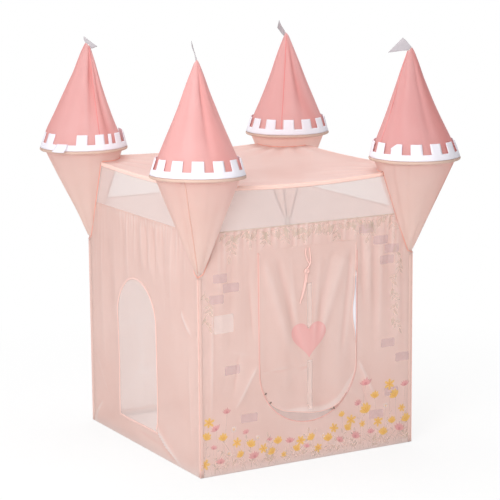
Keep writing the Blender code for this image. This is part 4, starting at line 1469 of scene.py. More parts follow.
# Sewn side low and high, then free side low and high
PENNANTS = {
    "front_left": ((3, -4, 14), (2, 9, 2), (-4, 31, 66), (-17, 71, -6)),
    "front_right": ((-9, -9, -4), (8, 4, 0), (-82, -15, 12), (-25, 42, 8)),
    "back_right": ((-8, -12, 14), (-3, 1, 2), (-38, 31, 58), (-32, 53, -20)),
    "back_left": ((13, -19, -7), (-9, 1, -2), (35, -8, 30), (-20, 33, 34)),
}


def lay_pennant(corner):
    middle = CORNERS[corner] * UPRIGHT_PLACE
    joint = Vector((middle.x, middle.y, JOINT_HEIGHT))
    marks = [joint + (RIGHTWARD * r + UPWARD * u + FORWARD * f) / 1000 for r, u, f in PENNANTS[corner]]
    sewn = (marks[1] - marks[0]).normalized()
    face = sewn.cross(marks[3] - marks[0]).normalized()
    short_side, long_side = (marks[1] - marks[0]).length, (marks[3] - marks[2]).length
    reach = ((marks[2] + marks[3]) / 2 - (marks[0] + marks[1]) / 2).length

    def place(share, rise):
        spot = marks[0].lerp(marks[1], rise).lerp(marks[2].lerp(marks[3], rise), share)
        wave = 0.0035 * math.sin(math.pi * share) + 0.0012 * math.sin(7 * share + 3 * rise)
        return spot + face * wave

    piece = cut_cloth(
        f"cloth_flag_{corner}",
        rows_between(0, 1, 0.08),
        rows_between(0, 1, 0.1),
        place,
        pennant_grey,
        flat=lambda s, t: (reach * s, (t - 0.5) * (short_side + (long_side - short_side) * s)),
    )
    thicken(piece, PENNANT_THICKNESS)
    belong(piece, f"pennant_{corner}", "grey_cloth", f"flag_{corner}")


for corner_name in CORNERS:
    lay_pennant(corner_name)

# %% [markdown]
# ## Door flap and heart
# The flap hangs from a rolled seam at its top and is free below. It falls in broad folds that open
# towards its foot, and its right edge is drawn in a little, so a pale gap shows there. A heart of rose
# voile is sewn over a hole of the same shape.

# %% Door flap and heart
SNUG = 0.0007
SPRING = DOOR_BOTTOM + DOOR_HALF
FLAP_SEAM = 0.8445
# Where the flap's edge is drawn in: degrees round its foot, or the height at its right, then spread and size
FOOT_GAPS = ((-8, 33, 0.035), (48, 22, 0.004))
SIDE_GAPS = ((0.565, 0.085, 0.0165), (0.7, 0.06, 0.005))
# (place along, drift, width, depth)
FLAP_FOLDS = (
    (-0.2, 0.3, 0.024, 0.006), (-0.142, 0.26, 0.016, -0.0048), (-0.085, 0.1, 0.014, 0.0024),
    (0.055, -0.08, 0.014, 0.0024), (0.115, -0.22, 0.018, -0.004), (0.178, -0.36, 0.024, 0.0064),
    (0.2, -0.12, 0.012, -0.004),
)
FLAP_WAVE, FLAP_FOLD_LENGTH = 0.13, 0.5


def drawn_in(gaps, place):
    return SNUG + sum(size * bell((place - at) / spread) for at, spread, size in gaps)


def foot_turn(along, height):
    """How many degrees round the flap's foot a place is, above 0 to the right of its lowest point."""
    return math.degrees(math.atan2(along, SPRING - height))


def edge_gap(along, height):
    """How far the flap's edge stays off the opening's: 34 mm at its lowest point, and less to both sides."""
    if height < SPRING:
        return drawn_in(FOOT_GAPS, foot_turn(along, height))
    return drawn_in(SIDE_GAPS, height) if along > 0 else SNUG


def flap_distance(along, height):
    """Distance from the flap's outline, below 0 on the flap."""
    gap = edge_gap(along, height) - DOOR_HALF
    if height < SPRING:
        return math.hypot(along, height - SPRING) + gap
    return max(abs(along) + gap, height - FLAP_SEAM)


def flap_point(along, height, lift=0.0):
    drop = ease((FLAP_TOP - height) / (FLAP_TOP - FLAP_BOTTOM))
    depth = 0.0028 * drop * math.cos(2 * math.pi * along / FLAP_WAVE)
    for at, drift, width, size in FLAP_FOLDS:
        off = (along - at - drift * (FLAP_TOP - height)) / width
        depth += size * bell(off) * hump((FLAP_TOP - height) / FLAP_FOLD_LENGTH)
    depth += 0.004 * drop * noise.noise(Vector((along * 7, height * 3, 9.0)))
    depth += 0.0014 * noise.noise(Vector((along * 17, height * 8, 4.0)))
    steady = ease((FLAP_SEAM - height) / 0.05) * ease((along + DOOR_HALF) / 0.035)
    if height < SPRING:
        turn = foot_turn(along, height)
        curl = ease((turn + 40) / 40) * ease((58 - turn) / 30)
        depth += 0.009 * curl * ease((flap_distance(along, height) + 0.035) / 0.035)
        steady *= ease((turn + 80) / 30)
    else:
        steady *= ease((DOOR_HALF - along) / 0.03) * 0.75 + 0.25
    return side_point("front", along, HALF + depth * steady + lift, height)


def flap_shape(along, height):
    """The flap without the heart, which is a little larger than its hole."""
    outline = flap_distance(along, height)
    if abs(height - HEART_MIDDLE) > 0.09:
        return outline
    return max(outline, -(heart_distance(along, height) + HEART_LAP))


# A painted highlight along the flap's curled foot: its width, how much paler it is, and how soft its edge is
FOOT_HIGHLIGHT_WIDTH, FOOT_HIGHLIGHT_SHARE, FOOT_HIGHLIGHT_EDGE = 0.024, 0.9, 0.006


def foot_highlight(place):
    turn = foot_turn(place.x, place.z)
    width = FOOT_HIGHLIGHT_WIDTH * ease((turn + 50) / 40) * ease((88 - turn) / 30)
    if width <= 0.002:
        return 0.0
    return FOOT_HIGHLIGHT_SHARE * ease((flap_distance(place.x, place.z) + width) / FOOT_HIGHLIGHT_EDGE)


def lay_flap():
    across = rows_between(-DOOR_HALF, DOOR_HALF, 0.0055)
    up = rows_between(DOOR_BOTTOM, FLAP_SEAM, 0.0055)
    flap = cut_cloth("cloth_door_flap", across, up, flap_point, peach, flap_shape)
    # A painted highlight along the curled foot
    note_more(flap, foot_highlight)
    belong(flap, "door", "peach_cloth", "door_flap")
    across = rows_between(-HEART_WIDTH / 2, HEART_WIDTH / 2, 0.004)
    up = rows_between(HEART_MIDDLE - HEART_HEIGHT * 0.55, HEART_MIDDLE + HEART_HEIGHT * 0.55, 0.004)
    heart = cut_cloth(
        "cloth_heart",
        across,
        up,
        lambda along, height: flap_point(along, height, 0.0008),
        heart_voile,
        heart_distance,
    )
    belong(heart, "door", "heart_cloth", "door_heart")


lay_flap()

# %% [markdown]
# ## Window nets
# The same wall surface carries the window's net, so it follows the wall's folds.

# %% Window nets
# How far beyond its opening the net reaches, and how far the grid that it is cut from does
NET_LAP, GRID_LAP = 0.003, 0.004


def lay_window(side):
    middle, reach = WINDOW_PLACE[side], WINDOW_HALF + GRID_LAP
    across = rows_between(middle - reach, middle + reach, 0.01)
    up = rows_between(WINDOW_FOOT - GRID_LAP, WINDOW_TOP + GRID_LAP, 0.01)
    piece = cut_cloth(
        f"cloth_window_{side}",
        across,
        up,
        lambda along, height: wall_point(side, along, height, -0.0005),
        window_net,
        lambda along, height: arch_distance(along, height, side, NET_LAP),
    )
    belong(piece, "tent", "white_net", f"window_mesh_{side}")


for side_name in WINDOW_PLACE:
    lay_window(side_name)

# %% [markdown]
# ## Bindings
# Ribbon finishes every cut edge: round the door's opening, round the flap, round the windows, along the
# net's seam, down the corners and along the roof's edge.

# %% Bindings
FRONT_OUT = side_out("front")
# How far a binding lies beside a cut edge, and how far apart the points of its path are
EDGE = 0.0016
BINDING_STEP = 0.01


def u_path(half, bottom, top):
    """Down the left of a U, round its foot, and up its right."""
    spring = bottom + half
    heights = rows_between(spring, top, BINDING_STEP)
    turns = rows_between(math.pi, 2 * math.pi, BINDING_STEP / half)
    foot = [(half * math.cos(a), spring + half * math.sin(a)) for a in turns[1:-1]]
    return [(-half, h) for h in reversed(heights)] + foot + [(half, h) for h in heights]


def arch_path(side, grow):
    """Round a window's opening: up its right, over, down its left and back along its foot."""
    middle, half = WINDOW_PLACE[side], WINDOW_HALF + grow
    spring, foot = WINDOW_TOP - WINDOW_HALF, WINDOW_FOOT - grow
    heights = rows_between(foot, spring, BINDING_STEP)
    turns = rows_between(0, math.pi, BINDING_STEP / half)[1:-1]
    path = [(middle + half, h) for h in heights]
    path += [(middle + half * math.cos(a), spring + half * math.sin(a)) for a in turns]
    path += [(middle - half, h) for h in reversed(heights)]
    return path + [(middle + a, foot) for a in rows_between(-half, half, BINDING_STEP)[1:-1]]


def on_wall(side, points, lift):
    return [wall_point(side, along, height, lift) for along, height in points]


def flap_rim():
    """Just inside the flap's own edge."""
    path = []
    for along, height in u_path(DOOR_HALF, DOOR_BOTTOM, FLAP_SEAM - 0.012):
        middle = Vector((0, max(height, SPRING)))
        step = Vector((along, height)) - middle
        spot = middle + step.normalized() * (step.length - edge_gap(along, height) - EDGE)
        path.append(flap_point(spot.x, spot.y, 0.0003))
    return path


opening = u_path(DOOR_HALF + EDGE, DOOR_BOTTOM - EDGE, DOOR_TOP - 0.01)
opening = [(along, height) for along, height in opening if along < 0 or height < DOOR_TOP - 0.036]
opening = on_wall("front", opening, 0.0003)
sewn_piece("door_binding", [(opening, FRONT_OUT)], tape_section(0.0048, 0.0011), ribbon)
sewn_piece("flap_binding", [(flap_rim(), FRONT_OUT)], tape_section(0.004, 0.001), pale_ribbon, "door")
windows = [(on_wall(side, arch_path(side, NET_LAP), 0.0004), side_out(side)) for side in WINDOW_PLACE]
sewn_piece("window_bindings", windows, tape_section(0.01, 0.0013), pale_ribbon, closed=True)

# %% Seam under the net
def side_run(side, height, step, place):
    """A run from tower to tower along a side, with each point from a function of its place along."""
    start, stop = (tower_edge(side, end, height) for end in (-1, 1))
    return [place(side, along) for along in rows_between(start, stop, step)], side_out(side)


def seam_place(side, along):
    return side_point(side, along, HALF + 0.0004, SEAM_HEIGHT - 0.002)


seams = [side_run(side, SEAM_HEIGHT, 0.02, seam_place) for side in SIDES]
sewn_piece("front_seam_tape", seams[:1], tape_section(0.0036, 0.0008), grey_seam)
sewn_piece("net_seam_tape", seams[1:], tape_section(0.0044, 0.0008), seam_tape)

# %% [markdown]
# The roof's edge is a plump hem: roof cloth turned down over the top of the net.

# %% Roof hem
HEM_OUTLINE = (
    (0.0085, -0.001), (0.007, 0.0026), (0.0025, 0.0044), (-0.0035, 0.0036), (-0.0085, 0.0006), (0, -0.0016),
)


def hem_line(side, along):
    spot = side_point(side, along, HALF, 0)
    return side_point(side, along, HALF + 0.0012, roof_height(spot.x, spot.y) - 0.0075)


hems = [side_run(side, ROOF_HEIGHT - 0.006, 0.015, hem_line) for side in SIDES]
hem_peach = tape_finish("roof hem", "FACFC2", "FBE2D9")
sewn_piece("roof_hem", hems, HEM_OUTLINE, hem_peach, slot="peach_cloth")

# %% [markdown]
# Salmon piping is sewn into the seam where a skirt meets the walls: it comes down from the roof, rounds
# the foot of the V at the corner and climbs the other side. A second, thinner line runs beside it.

# %% Piping of the V seams
def v_seam(corner, lift, spread, facing_in=1):
    """Down one side wall, round the corner, and up the next."""
    k = corner_number(corner)
    before, after = SIDES[k - 1], SIDES[k]
    heights = rows_between(SKIRT_FOOT_HEIGHT + 0.004, ROOF_HEIGHT - 0.01, 0.012)
    path, outs = [], []
    for height in reversed(heights):
        path.append(side_point(before, tower_edge(before, 1, height) - spread, HALF + lift, height))
        outs.append(side_out(before))
    foot = CORNERS[corner] * (HALF + lift)
    path.append(Vector((foot.x, foot.y, SKIRT_FOOT_HEIGHT - 0.006 - spread)))
    outs.append(corner_out(corner))
    for height in heights:
        path.append(side_point(after, tower_edge(after, -1, height) + spread, HALF + lift, height))
        outs.append(side_out(after))
    return path, [out * facing_in for out in outs]


sewn_piece("v_piping", [v_seam(c, 0.0012, 0) for c in CORNERS], round_section(0.0019), salmon_piping)
sewn_piece("v_edge", [v_seam(c, 0.0008, 0.0055) for c in CORNERS], round_section(0.0011, 6), pale_ribbon)

# %% [markdown]
# The seams show on their inner side too: through the net one sees the V of the far corner, the seam down
# the inner side of its skirt and the corner's own seam below. They are narrow dusky tapes on the cloth's
# inner face.

# %% Inner seams
def corner_line(corner, out, low, high, step):
    """Straight up a corner, at a distance from its edge."""
    spot = CORNERS[corner] * (HALF + out)
    return [Vector((spot.x, spot.y, height)) for height in rows_between(low, high, step)]


def skirt_line(corner, angle, high):
    """Up a skirt on its outer face."""
    place, out = skirt_place(corner), heading(angle) * 0.0008
    return [place(angle, height) + out for height in rows_between(SKIRT_FOOT_HEIGHT + 0.01, high, 0.012)]


inner = []
for corner in CORNERS:
    inward = math.atan2(-CORNERS[corner].y, -CORNERS[corner].x)
    inner.append((corner_line(corner, -0.0035, 0.06, SKIRT_FOOT_HEIGHT - 0.01, 0.05), -corner_out(corner)))
    inner.append(v_seam(corner, -0.0022, 0.003, -1))
    inner.append((skirt_line(corner, inward, ROOF_HEIGHT - 0.022), heading(inward)))
sewn_piece("inner_seams", inner, tape_section(0.006, 0.001), dusky_tape)

# %% Hem tapes inside
hem_tapes = []
for side in SIDES:
    places = rows_between(-HEM_REACH + 0.004, HEM_REACH - 0.004, 0.05)
    path = [side_point(side, along, HALF - HEM_DEPTH - 0.0012, 0.0235) for along in places]
    hem_tapes.append((path, -side_out(side)))
sewn_piece("hem_tapes", hem_tapes, tape_section(0.006, 0.001), pale_ribbon)

# %% Piping where the roof meets the towers
def roof_seam(corner):
    """Round a tower where the roof reaches it. The height is found by asking the roof again and again."""
    inward = math.atan2(-CORNERS[corner].y, -CORNERS[corner].x)
    path = []
    for turn in rows_between(-50, 50, 2.5):
        angle, height = inward + math.radians(turn), ROOF_HEIGHT - 0.02
        for _ in range(8):
            spot = tower_point(corner, skirt_radius(height), angle, height)
            height = roof_height(spot.x, spot.y)
        spot = tower_point(corner, skirt_radius(height) + 0.001, angle, height)
        if max(abs(spot.x), abs(spot.y)) < HALF - 0.002:
            path.append(Vector((spot.x, spot.y, height + 0.0012)))
    return path, Vector((0, 0, 1))


sewn_piece("roof_piping", [roof_seam(c) for c in CORNERS], round_section(0.002), salmon_piping)

# %% Seams of the skirts and the tower roofs
# Where each pointed roof's seam runs, in degrees right of the front
CONE_SEAMS = {"front_left": 150, "front_right": -60, "back_right": -9, "back_left": 24}


def skirt_seam(corner):
    out = math.atan2(CORNERS[corner].y, CORNERS[corner].x)
    return skirt_line(corner, out, SKIRT_TOP_HEIGHT), heading(out, -SKIRT_SLOPE)


def cone_seam(corner):
    turn, place = facing(corner) + math.radians(CONE_SEAMS[corner]), roof_place(corner)
    heights = rows_between(CONE_FOOT + 0.004, TIP_MIDDLE, 0.015)
    return [place(turn, height) + heading(turn) * 0.0006 for height in heights], heading(turn, CONE_SLOPE)


sewn_piece("skirt_seams", [skirt_seam(c) for c in CORNERS], tape_section(0.0046, 0.001), skirt_tape)
cone_tape = tape_finish("rose seam", "E88F8D", "F2A9A7")
cone_seams = [cone_seam(c) for c in CORNERS]
sewn_piece("tower_roof_seams", cone_seams, tape_section(0.0034, 0.001), cone_tape, slot="pink_cloth")

# %% Corner strips
STRIP_TOP = SKIRT_FOOT_HEIGHT - 0.012


def corner_strip(side, end):
    """One long strip beside a corner, at the end of a side."""
    heights = rows_between(0.004, STRIP_TOP, 0.03)
    path = [side_point(side, end * (HALF - 0.0075), HALF + 0.0003, height) for height in heights]
    return path, side_out(side)


strips = []
for k in range(4):
    strips += [corner_strip(SIDES[k - 1], 1), corner_strip(SIDES[k], -1)]
sewn_piece("corner_tapes", strips, tape_section(0.0145, 0.0008), seam_tape, slot="peach_cloth")
edges = [(corner_line(c, 0.0004, 0.003, STRIP_TOP, 0.03), corner_out(c)) for c in CORNERS]
corner_cord = tape_finish("corner cord", "E8B9AE", "F0CCC3")
sewn_piece("corner_edges", edges, round_section(0.0016, 6), corner_cord)

# %% [markdown]
# ## Door tie
# A narrow ribbon hangs from the door's top seam as a long loop, gathered in a knot, with two tails below
# it. It goes round the rolled-up door. A wide sheer strap runs down the flap's middle, above and below
# the heart, and a white hook tape keeps the flap shut. Three small dark tabs on the flap's foot are
# painted shadow, in the gaps where its edge meets the opening.

# %% Door tie
RIBBON = 0.01
RIBBON_THICKNESS = 0.0007
KNOT_PLACE, KNOT_LIFT = (-0.009, 0.746), 0.005
# Half the width and half the height of each turn of ribbon round the knot, and how far it is turned
KNOT_RING = (0.0085, 0.0062)
KNOT_TURNS = (-35, 5, 40)
# The radius of a round turn that is as long as one of these
KNOT_ROUND = 0.0074
KNOT_CORE = 0.0062
# Each strand's (along, height) places on the flap, and how far it hangs off it
STRANDS = (
    (((-0.01, 0.8355), (-0.013, 0.818), (-0.006, 0.79), (0.004, 0.77), (-0.01, 0.752)), 0.0022),
    (((0.004, 0.8355), (0.006, 0.813), (0.008, 0.79), (0.006, 0.772), (-0.008, 0.752)), 0.0034),
    (((-0.012, 0.74), (-0.016, 0.71), (-0.026, 0.665), (-0.038, 0.623)), 0.0024),
    (((-0.006, 0.74), (-0.012, 0.705), (-0.022, 0.668), (-0.031, 0.64)), 0.0034),
)


def gutter_section(radius, thickness):
    """The outline of a ribbon that has curled along its length to half a round."""
    arc = [math.pi * k / 6 for k in range(7)]
    outer = [(radius * math.cos(a), radius * math.sin(a)) for a in arc]
    inner = [((radius - thickness) * math.cos(a), (radius - thickness) * math.sin(a)) for a in reversed(arc)]
    return outer + inner


def between(a, b, c, d, t):
    """A value on the smooth curve from b to c, which also heeds the values before and after them."""
    return 0.5 * (2 * b + (c - a) * t + (2 * a - 5 * b + 4 * c - d) * t * t + (3 * b - a - 3 * c + d) * t**3)


def hang_path(points, lift):
    """A smooth path through a few (along, height) places on the flap."""
    path = []
    padded = (points[0], *points, points[-1])
    for four in zip(padded, padded[1:], padded[2:], padded[3:]):
        for t in (k / 8 for k in range(8)):
            along, height = (between(*values, t) for values in zip(*four))
            path.append(flap_point(along, height, lift))
    return path + [flap_point(*points[-1], lift)]


def lay_tie():
    shape = bmesh.new()
    curled = gutter_section(RIBBON / math.pi, RIBBON_THICKNESS)
    length = sum(sew(shape, hang_path(points, lift), FRONT_OUT, curled) for points, lift in STRANDS)
    middle = flap_point(*KNOT_PLACE, KNOT_LIFT)
    for number, lean in enumerate(KNOT_TURNS):
        turned_way = Matrix.Rotation(math.radians(lean), 3, "Y")
        offset = Vector((0, (number - 1) * 0.0016, 0))
        ring = [Vector((x, 0, z)) for x, z in round_section(1, 16)]
        ring = [Vector((v.x * KNOT_RING[0], 0, v.z * KNOT_RING[1])) for v in ring]
        sew(shape, [middle + turned_way @ v + offset for v in ring], FRONT_OUT, curled, closed=True)
    core = bmesh.ops.create_icosphere(shape, subdivisions=2, radius=KNOT_CORE)
    bmesh.ops.scale(shape, verts=core["verts"], vec=(1, 0.7, 0.85))
    bmesh.ops.translate(shape, verts=core["verts"], vec=middle)
    bmesh.ops.recalc_face_normals(shape, faces=shape.faces)
    tie = keep_mesh("cloth_door_tie", shape, tape_finish("tie ribbon", "E9BFB6", "EFCFC8"))
    length += len(KNOT_TURNS) * 2 * math.pi * KNOT_ROUND
    belong(tie, "door", "ribbon", "door_tie")


lay_tie()

# %% Strap, hook tape and painted shadow tabs
STRAP_PLACE = 0.0035
# Each length of the strap, from its top to its foot
STRAPS = (
    (0.7, HEART_MIDDLE + 0.05),
    (HEART_MIDDLE - HEART_HEIGHT / 2 - 0.006, DOOR_BOTTOM + 0.044),
)
TAB_TURNS, TAB_LENGTH = (-66, -54, 31), 0.009

sheer_tape = cloth_finish("sheer strap", "FFFAF7", "FBF2EE", cover=0.42, glow=0.6)
straps = []
for high, low in STRAPS:
    heights = reversed(rows_between(low, high, 0.01))
    straps.append(([flap_point(STRAP_PLACE, height, 0.0003) for height in heights], FRONT_OUT))
sewn_piece("centre_strap", straps, tape_section(0.023, 0.0003), sheer_tape, "door")
hooks = [side_point("front", DOOR_HALF - 0.004, HALF - 0.004, h) for h in rows_between(0.44, 0.7, 0.02)]
sewn_piece("hook_tape", [(hooks, FRONT_OUT)], tape_section(0.022, 0.0012), white_tape)
# Three small dark tabs on the flap's foot: painted shadow in the gaps there
shadow_tabs = []
for turn in TAB_TURNS:
    away = Vector((math.sin(math.radians(turn)), -math.cos(math.radians(turn))))
    spots = [away * (DOOR_HALF - 0.003 - TAB_LENGTH * k / 3) for k in range(4)]
    shadow_tabs.append(([flap_point(spot.x, SPRING + spot.y, 0.0012) for spot in spots], FRONT_OUT))
sewn_piece("painted_shadow_tabs", shadow_tabs, tape_section(0.006, 0.001), shadow_tab_tape, "door")

# %% [markdown]
# ## Print
# The front is printed with a flower meadow along its foot, a leaf garland under the seam and a few pale
# bricks. This meadow is made up for the lesson from plain shapes: petals, leaves, stems and rounded
# blocks. Each shape is drawn flat in the wall's own plan, cut into small triangles, and then laid on the
# folded wall, a hair above the cloth. The inks are thin, so they let some of the cloth's colour through.

# %% Print finishes
INK_GLOW = 0.35


def print_finish(name, colour, cover):
    material, wiring, surface = new_material(name)
    where = wiring.out("TexCoord", "UV")
    tone = wiring.out("TexNoise", "Fac", Vector=where, Scale=45, Detail=4)
    inked = wiring.mix_colours(tone, shade(colour), shade(colour, 0.9))
    woven = weave(wiring, where, THREAD)
    bump = wiring.out("Bump", Strength=WEAVE_BUMP, Distance=WEAVE_DEPTH, Height=woven)
    wiring.fill(surface, Base_Color=inked, Normal=bump, Roughness=0.85, Specular_IOR_Level=0.2)
    let_light_through(wiring, surface, inked, bump, INK_GLOW, cover)
    return material


# Each ink's finish and how far it lies above the cloth, so that inks that cross don't share a surface
INKS = {
    "block": (print_finish("mauve ink", "E5D2D6", 0.42), 0.0006),
    "pale": (print_finish("white ink", "FFF9F6", 0.55), 0.0007),
    "grass": (print_finish("pale grass ink", "F1E3D8", 0.3), 0.0008),
    "leaf": (print_finish("grey green ink", "E7DFD1", 0.38), 0.001),
    "twig": (print_finish("olive ink", "E7DBCA", 0.38), 0.0009),
    "garland": (print_finish("garland ink", "E8DDCF", 0.34), 0.0011),
    "pink": (print_finish("pink ink", "F6C1C2", 0.7), 0.0012),
    "rosy": (print_finish("rose ink", "EFB2B5", 0.6), 0.0014),
    "yellow": (print_finish("yellow ink", "FFD982", 0.8), 0.0012),
    "amber": (print_finish("amber ink", "F9C272", 0.7), 0.0014),
}
patches = {name: [] for name in INKS}


def drift(number, row=0):
    """A steady scatter from -1 to 1, the same in every run."""
    value = math.sin(number * 12.9898 + row * 78.233) * 43758.5453
    return 2 * (value - math.floor(value)) - 1


def turned(points, angle, at):
    """Points turned anticlockwise and moved to a place."""
    c, s = math.cos(angle), math.sin(angle)
    return [(at[0] + x * c - y * s, at[1] + x * s + y * c) for x, y in points]


def petal(length, width, start=0.0, count=9):
    """A round-ended petal that points up, narrow where it starts."""
    points = []
    for k in range(count):
        a = 2 * math.pi * k / count
        rise = 0.5 * (1 - math.cos(a))
        points.append((width / 2 * math.sin(a) * (0.55 + 0.55 * rise), start + length * rise))
    return points


def leaf(length, width):
    """A pointed leaf that points up."""
    side = [(width / 2 * math.sin(math.pi * t**0.85), length * t) for t in (0, 0.18, 0.4, 0.65, 0.85, 1)]
    return side + [(-x, y) for x, y in side[-2:0:-1]]


def stamp(ink, points):
    patches[ink].append(points)


print("Inks:", ", ".join(INKS))

# %% Flowers, stems and blocks
def rosette(at, size, turn, petals=6, ink="yellow"):
    """A flower seen from the front: round petals, each with a short dark stroke at its foot."""
    for k in range(petals):
        away = turn + 2 * math.pi * k / petals
        stamp(ink, turned(petal(size * (0.5 + 0.06 * drift(k, at[0])), size * 0.27), away, at))
        stamp("amber", turned(petal(size * 0.2, size * 0.07, size * 0.07, 6), away, at))
    stamp("amber", turned(petal(size * 0.14, size * 0.16), 0, (at[0], at[1] - size * 0.07)))


def cup(at, size, turn):
    """A flower seen from the side: petals that fan out of a short green cup."""
    for spread, share in ((-0.85, 0.72), (0.85, 0.78), (-0.42, 0.9), (0.42, 0.84), (0, 0.95)):
        stamp("yellow", turned(petal(size * share, size * 0.34), turn + spread, at))
    for spread in (-0.45, 0, 0.45):
        stamp("amber", turned(petal(size * 0.45, size * 0.06, size * 0.1, 6), turn + spread, at))
    stamp("leaf", turned(petal(size * 0.22, size * 0.2), turn, (at[0], at[1] - size * 0.08)))


def spray(at, size, turn):
    """A loose pink flower whose narrow petals hang to one side."""
    for k in range(6):
        way = turn - 1 + 0.4 * k
        stamp("pink", turned(leaf(size * (0.7 + 0.1 * drift(k, at[0])), size * 0.26), way, at))
    stamp("rosy", turned(petal(size * 0.3, size * 0.3), turn, at))


def stem(foot, head, bend=0.0, width=0.0013, ink="grass"):
    """A bent line; gives the points that it passes."""
    (x0, y0), (x1, y1) = foot, head
    length = math.hypot(x1 - x0, y1 - y0)
    aside = ((y0 - y1) / length, (x1 - x0) / length)
    spots = []
    for k in range(7):
        sway = bend * math.sin(math.pi * k / 6)
        spots.append((x0 + (x1 - x0) * k / 6 + aside[0] * sway, y0 + (y1 - y0) * k / 6 + aside[1] * sway))
    for p, q in zip(spots, spots[1:]):
        a, b = aside[0] * width / 2, aside[1] * width / 2
        stamp(ink, [(p[0] - a, p[1] - b), (q[0] - a, q[1] - b), (q[0] + a, q[1] + b), (p[0] + a, p[1] + b)])
    return spots


def sprig(foot, head, pairs, size, bend, ink, plump=0.36):
    """A stem with leaves left and right."""
    spots = stem(foot, head, bend, ink=ink)
    lean = math.atan2(head[1] - foot[1], head[0] - foot[0]) - math.pi / 2
    for k in range(pairs):
        for side in (-1, 1):
            x, y = spots[min(6, 1 + (k * 5 + (side > 0) * 2) // pairs)]
            away = lean + side * (0.8 + 0.2 * drift(k, x))
            stamp(ink, turned(leaf(size * (1 - 0.1 * k), size * plump), away, (x, y)))
    stamp(ink, turned(leaf(size, size * plump), lean, spots[-1]))


def block(at, width, height, ink="block"):
    """A brick with worn corners."""
    x, y = at
    cut = 0.004
    outline = [(cut, 0), (width - cut, 0), (width, cut), (width, height - cut)]
    outline += [(width - cut, height), (cut, height), (0, height - cut), (0, cut)]
    stamp(ink, [(x + a, y + b) for a, b in outline])


print("A petal has", len(petal(1, 1)), "corners, a leaf", len(leaf(1, 1)))

# %% Meadow
# (along the front, height of the flower, size, kind)
FLOWERS = (
    (-0.456, 0.052, 0.046, "rosette"), (-0.452, 0.148, 0.034, "cup"), (-0.436, 0.212, 0.044, "rosette"),
    (-0.418, 0.106, 0.026, "spray"), (-0.404, 0.178, 0.036, "spray"), (-0.388, 0.046, 0.034, "spray"),
    (-0.376, 0.134, 0.034, "cup"), (-0.36, 0.238, 0.032, "spray"), (-0.352, 0.082, 0.022, "daisy"),
    (-0.332, 0.172, 0.026, "daisy"), (-0.318, 0.118, 0.04, "rosette"), (-0.298, 0.06, 0.03, "cup"),
    (-0.276, 0.148, 0.028, "spray"), (-0.262, 0.092, 0.036, "cup"), (-0.24, 0.046, 0.044, "spray"),
    (-0.228, 0.124, 0.02, "daisy"), (-0.204, 0.078, 0.04, "rosette"), (-0.176, 0.104, 0.024, "spray"),
    (-0.16, 0.05, 0.032, "cup"), (-0.138, 0.086, 0.034, "cup"), (-0.112, 0.04, 0.026, "rosette"),
    (-0.084, 0.082, 0.036, "spray"), (-0.06, 0.046, 0.03, "cup"), (-0.036, 0.084, 0.044, "rosette"),
    (-0.01, 0.052, 0.028, "spray"), (0.014, 0.08, 0.032, "cup"), (0.04, 0.044, 0.04, "rosette"),
    (0.062, 0.09, 0.02, "daisy"), (0.086, 0.064, 0.036, "cup"), (0.112, 0.112, 0.042, "rosette"),
    (0.134, 0.054, 0.036, "spray"), (0.15, 0.152, 0.026, "cup"), (0.17, 0.094, 0.032, "cup"),
    (0.192, 0.132, 0.046, "rosette"), (0.21, 0.056, 0.042, "spray"), (0.228, 0.186, 0.034, "spray"),
    (0.246, 0.108, 0.03, "rosette"), (0.268, 0.15, 0.046, "cup"), (0.284, 0.064, 0.032, "spray"),
    (0.302, 0.204, 0.034, "cup"), (0.318, 0.108, 0.042, "rosette"), (0.34, 0.05, 0.036, "cup"),
    (0.352, 0.168, 0.022, "daisy"), (0.37, 0.252, 0.048, "rosette"), (0.382, 0.092, 0.032, "cup"),
    (0.4, 0.196, 0.04, "cup"), (0.414, 0.058, 0.046, "spray"), (0.428, 0.148, 0.034, "rosette"),
    (0.444, 0.236, 0.034, "spray"), (0.452, 0.09, 0.038, "cup"), (0.262, 0.262, 0.046, "spray"),
)


def daisy(at, size, turn):
    rosette(at, size, turn, petals=8, ink="pale")


MAKERS = {"rosette": rosette, "cup": cup, "spray": spray, "daisy": daisy}
for number, (along, height, size, kind) in enumerate(FLOWERS):
    foot = (along + 0.03 * drift(number), 0.008)
    spots = stem(foot, (along, height), bend=0.01 * drift(number, 1), width=0.0015)
    for k in (2, 3, 4)[: 1 + number % 3]:
        lean = (-1) ** k * (0.9 + 0.3 * drift(number, k))
        stamp("grass", turned(leaf(0.018 + 0.004 * drift(k, number), 0.0055), lean, spots[k]))
    MAKERS[kind]((along, height), size, 0.6 * drift(number, 2))
SPRIGS, SPRIG_STEP = 24, 0.039
for number in range(SPRIGS):
    along = -0.452 + number * SPRIG_STEP
    head = (along + 0.04 * drift(number, 4), 0.085 + 0.05 * drift(number, 3))
    ink = ("grass", "leaf", "grass", "twig")[number % 4]
    size = 0.023 + 0.007 * drift(number, 5)
    sprig((along, 0.012), head, 1 + number % 3, size, 0.012 * drift(number, 6), ink)
print("The meadow has", len(FLOWERS), "flowers among", SPRIGS, "sprigs")

# %% Garland, vines and bricks
TWIGS, TWIG_STEP = 30, 0.0262


def garland_place(number):
    return -0.365 + TWIG_STEP * number, SEAM_HEIGHT - 0.012 - 0.007 * math.sin(number * 1.1)


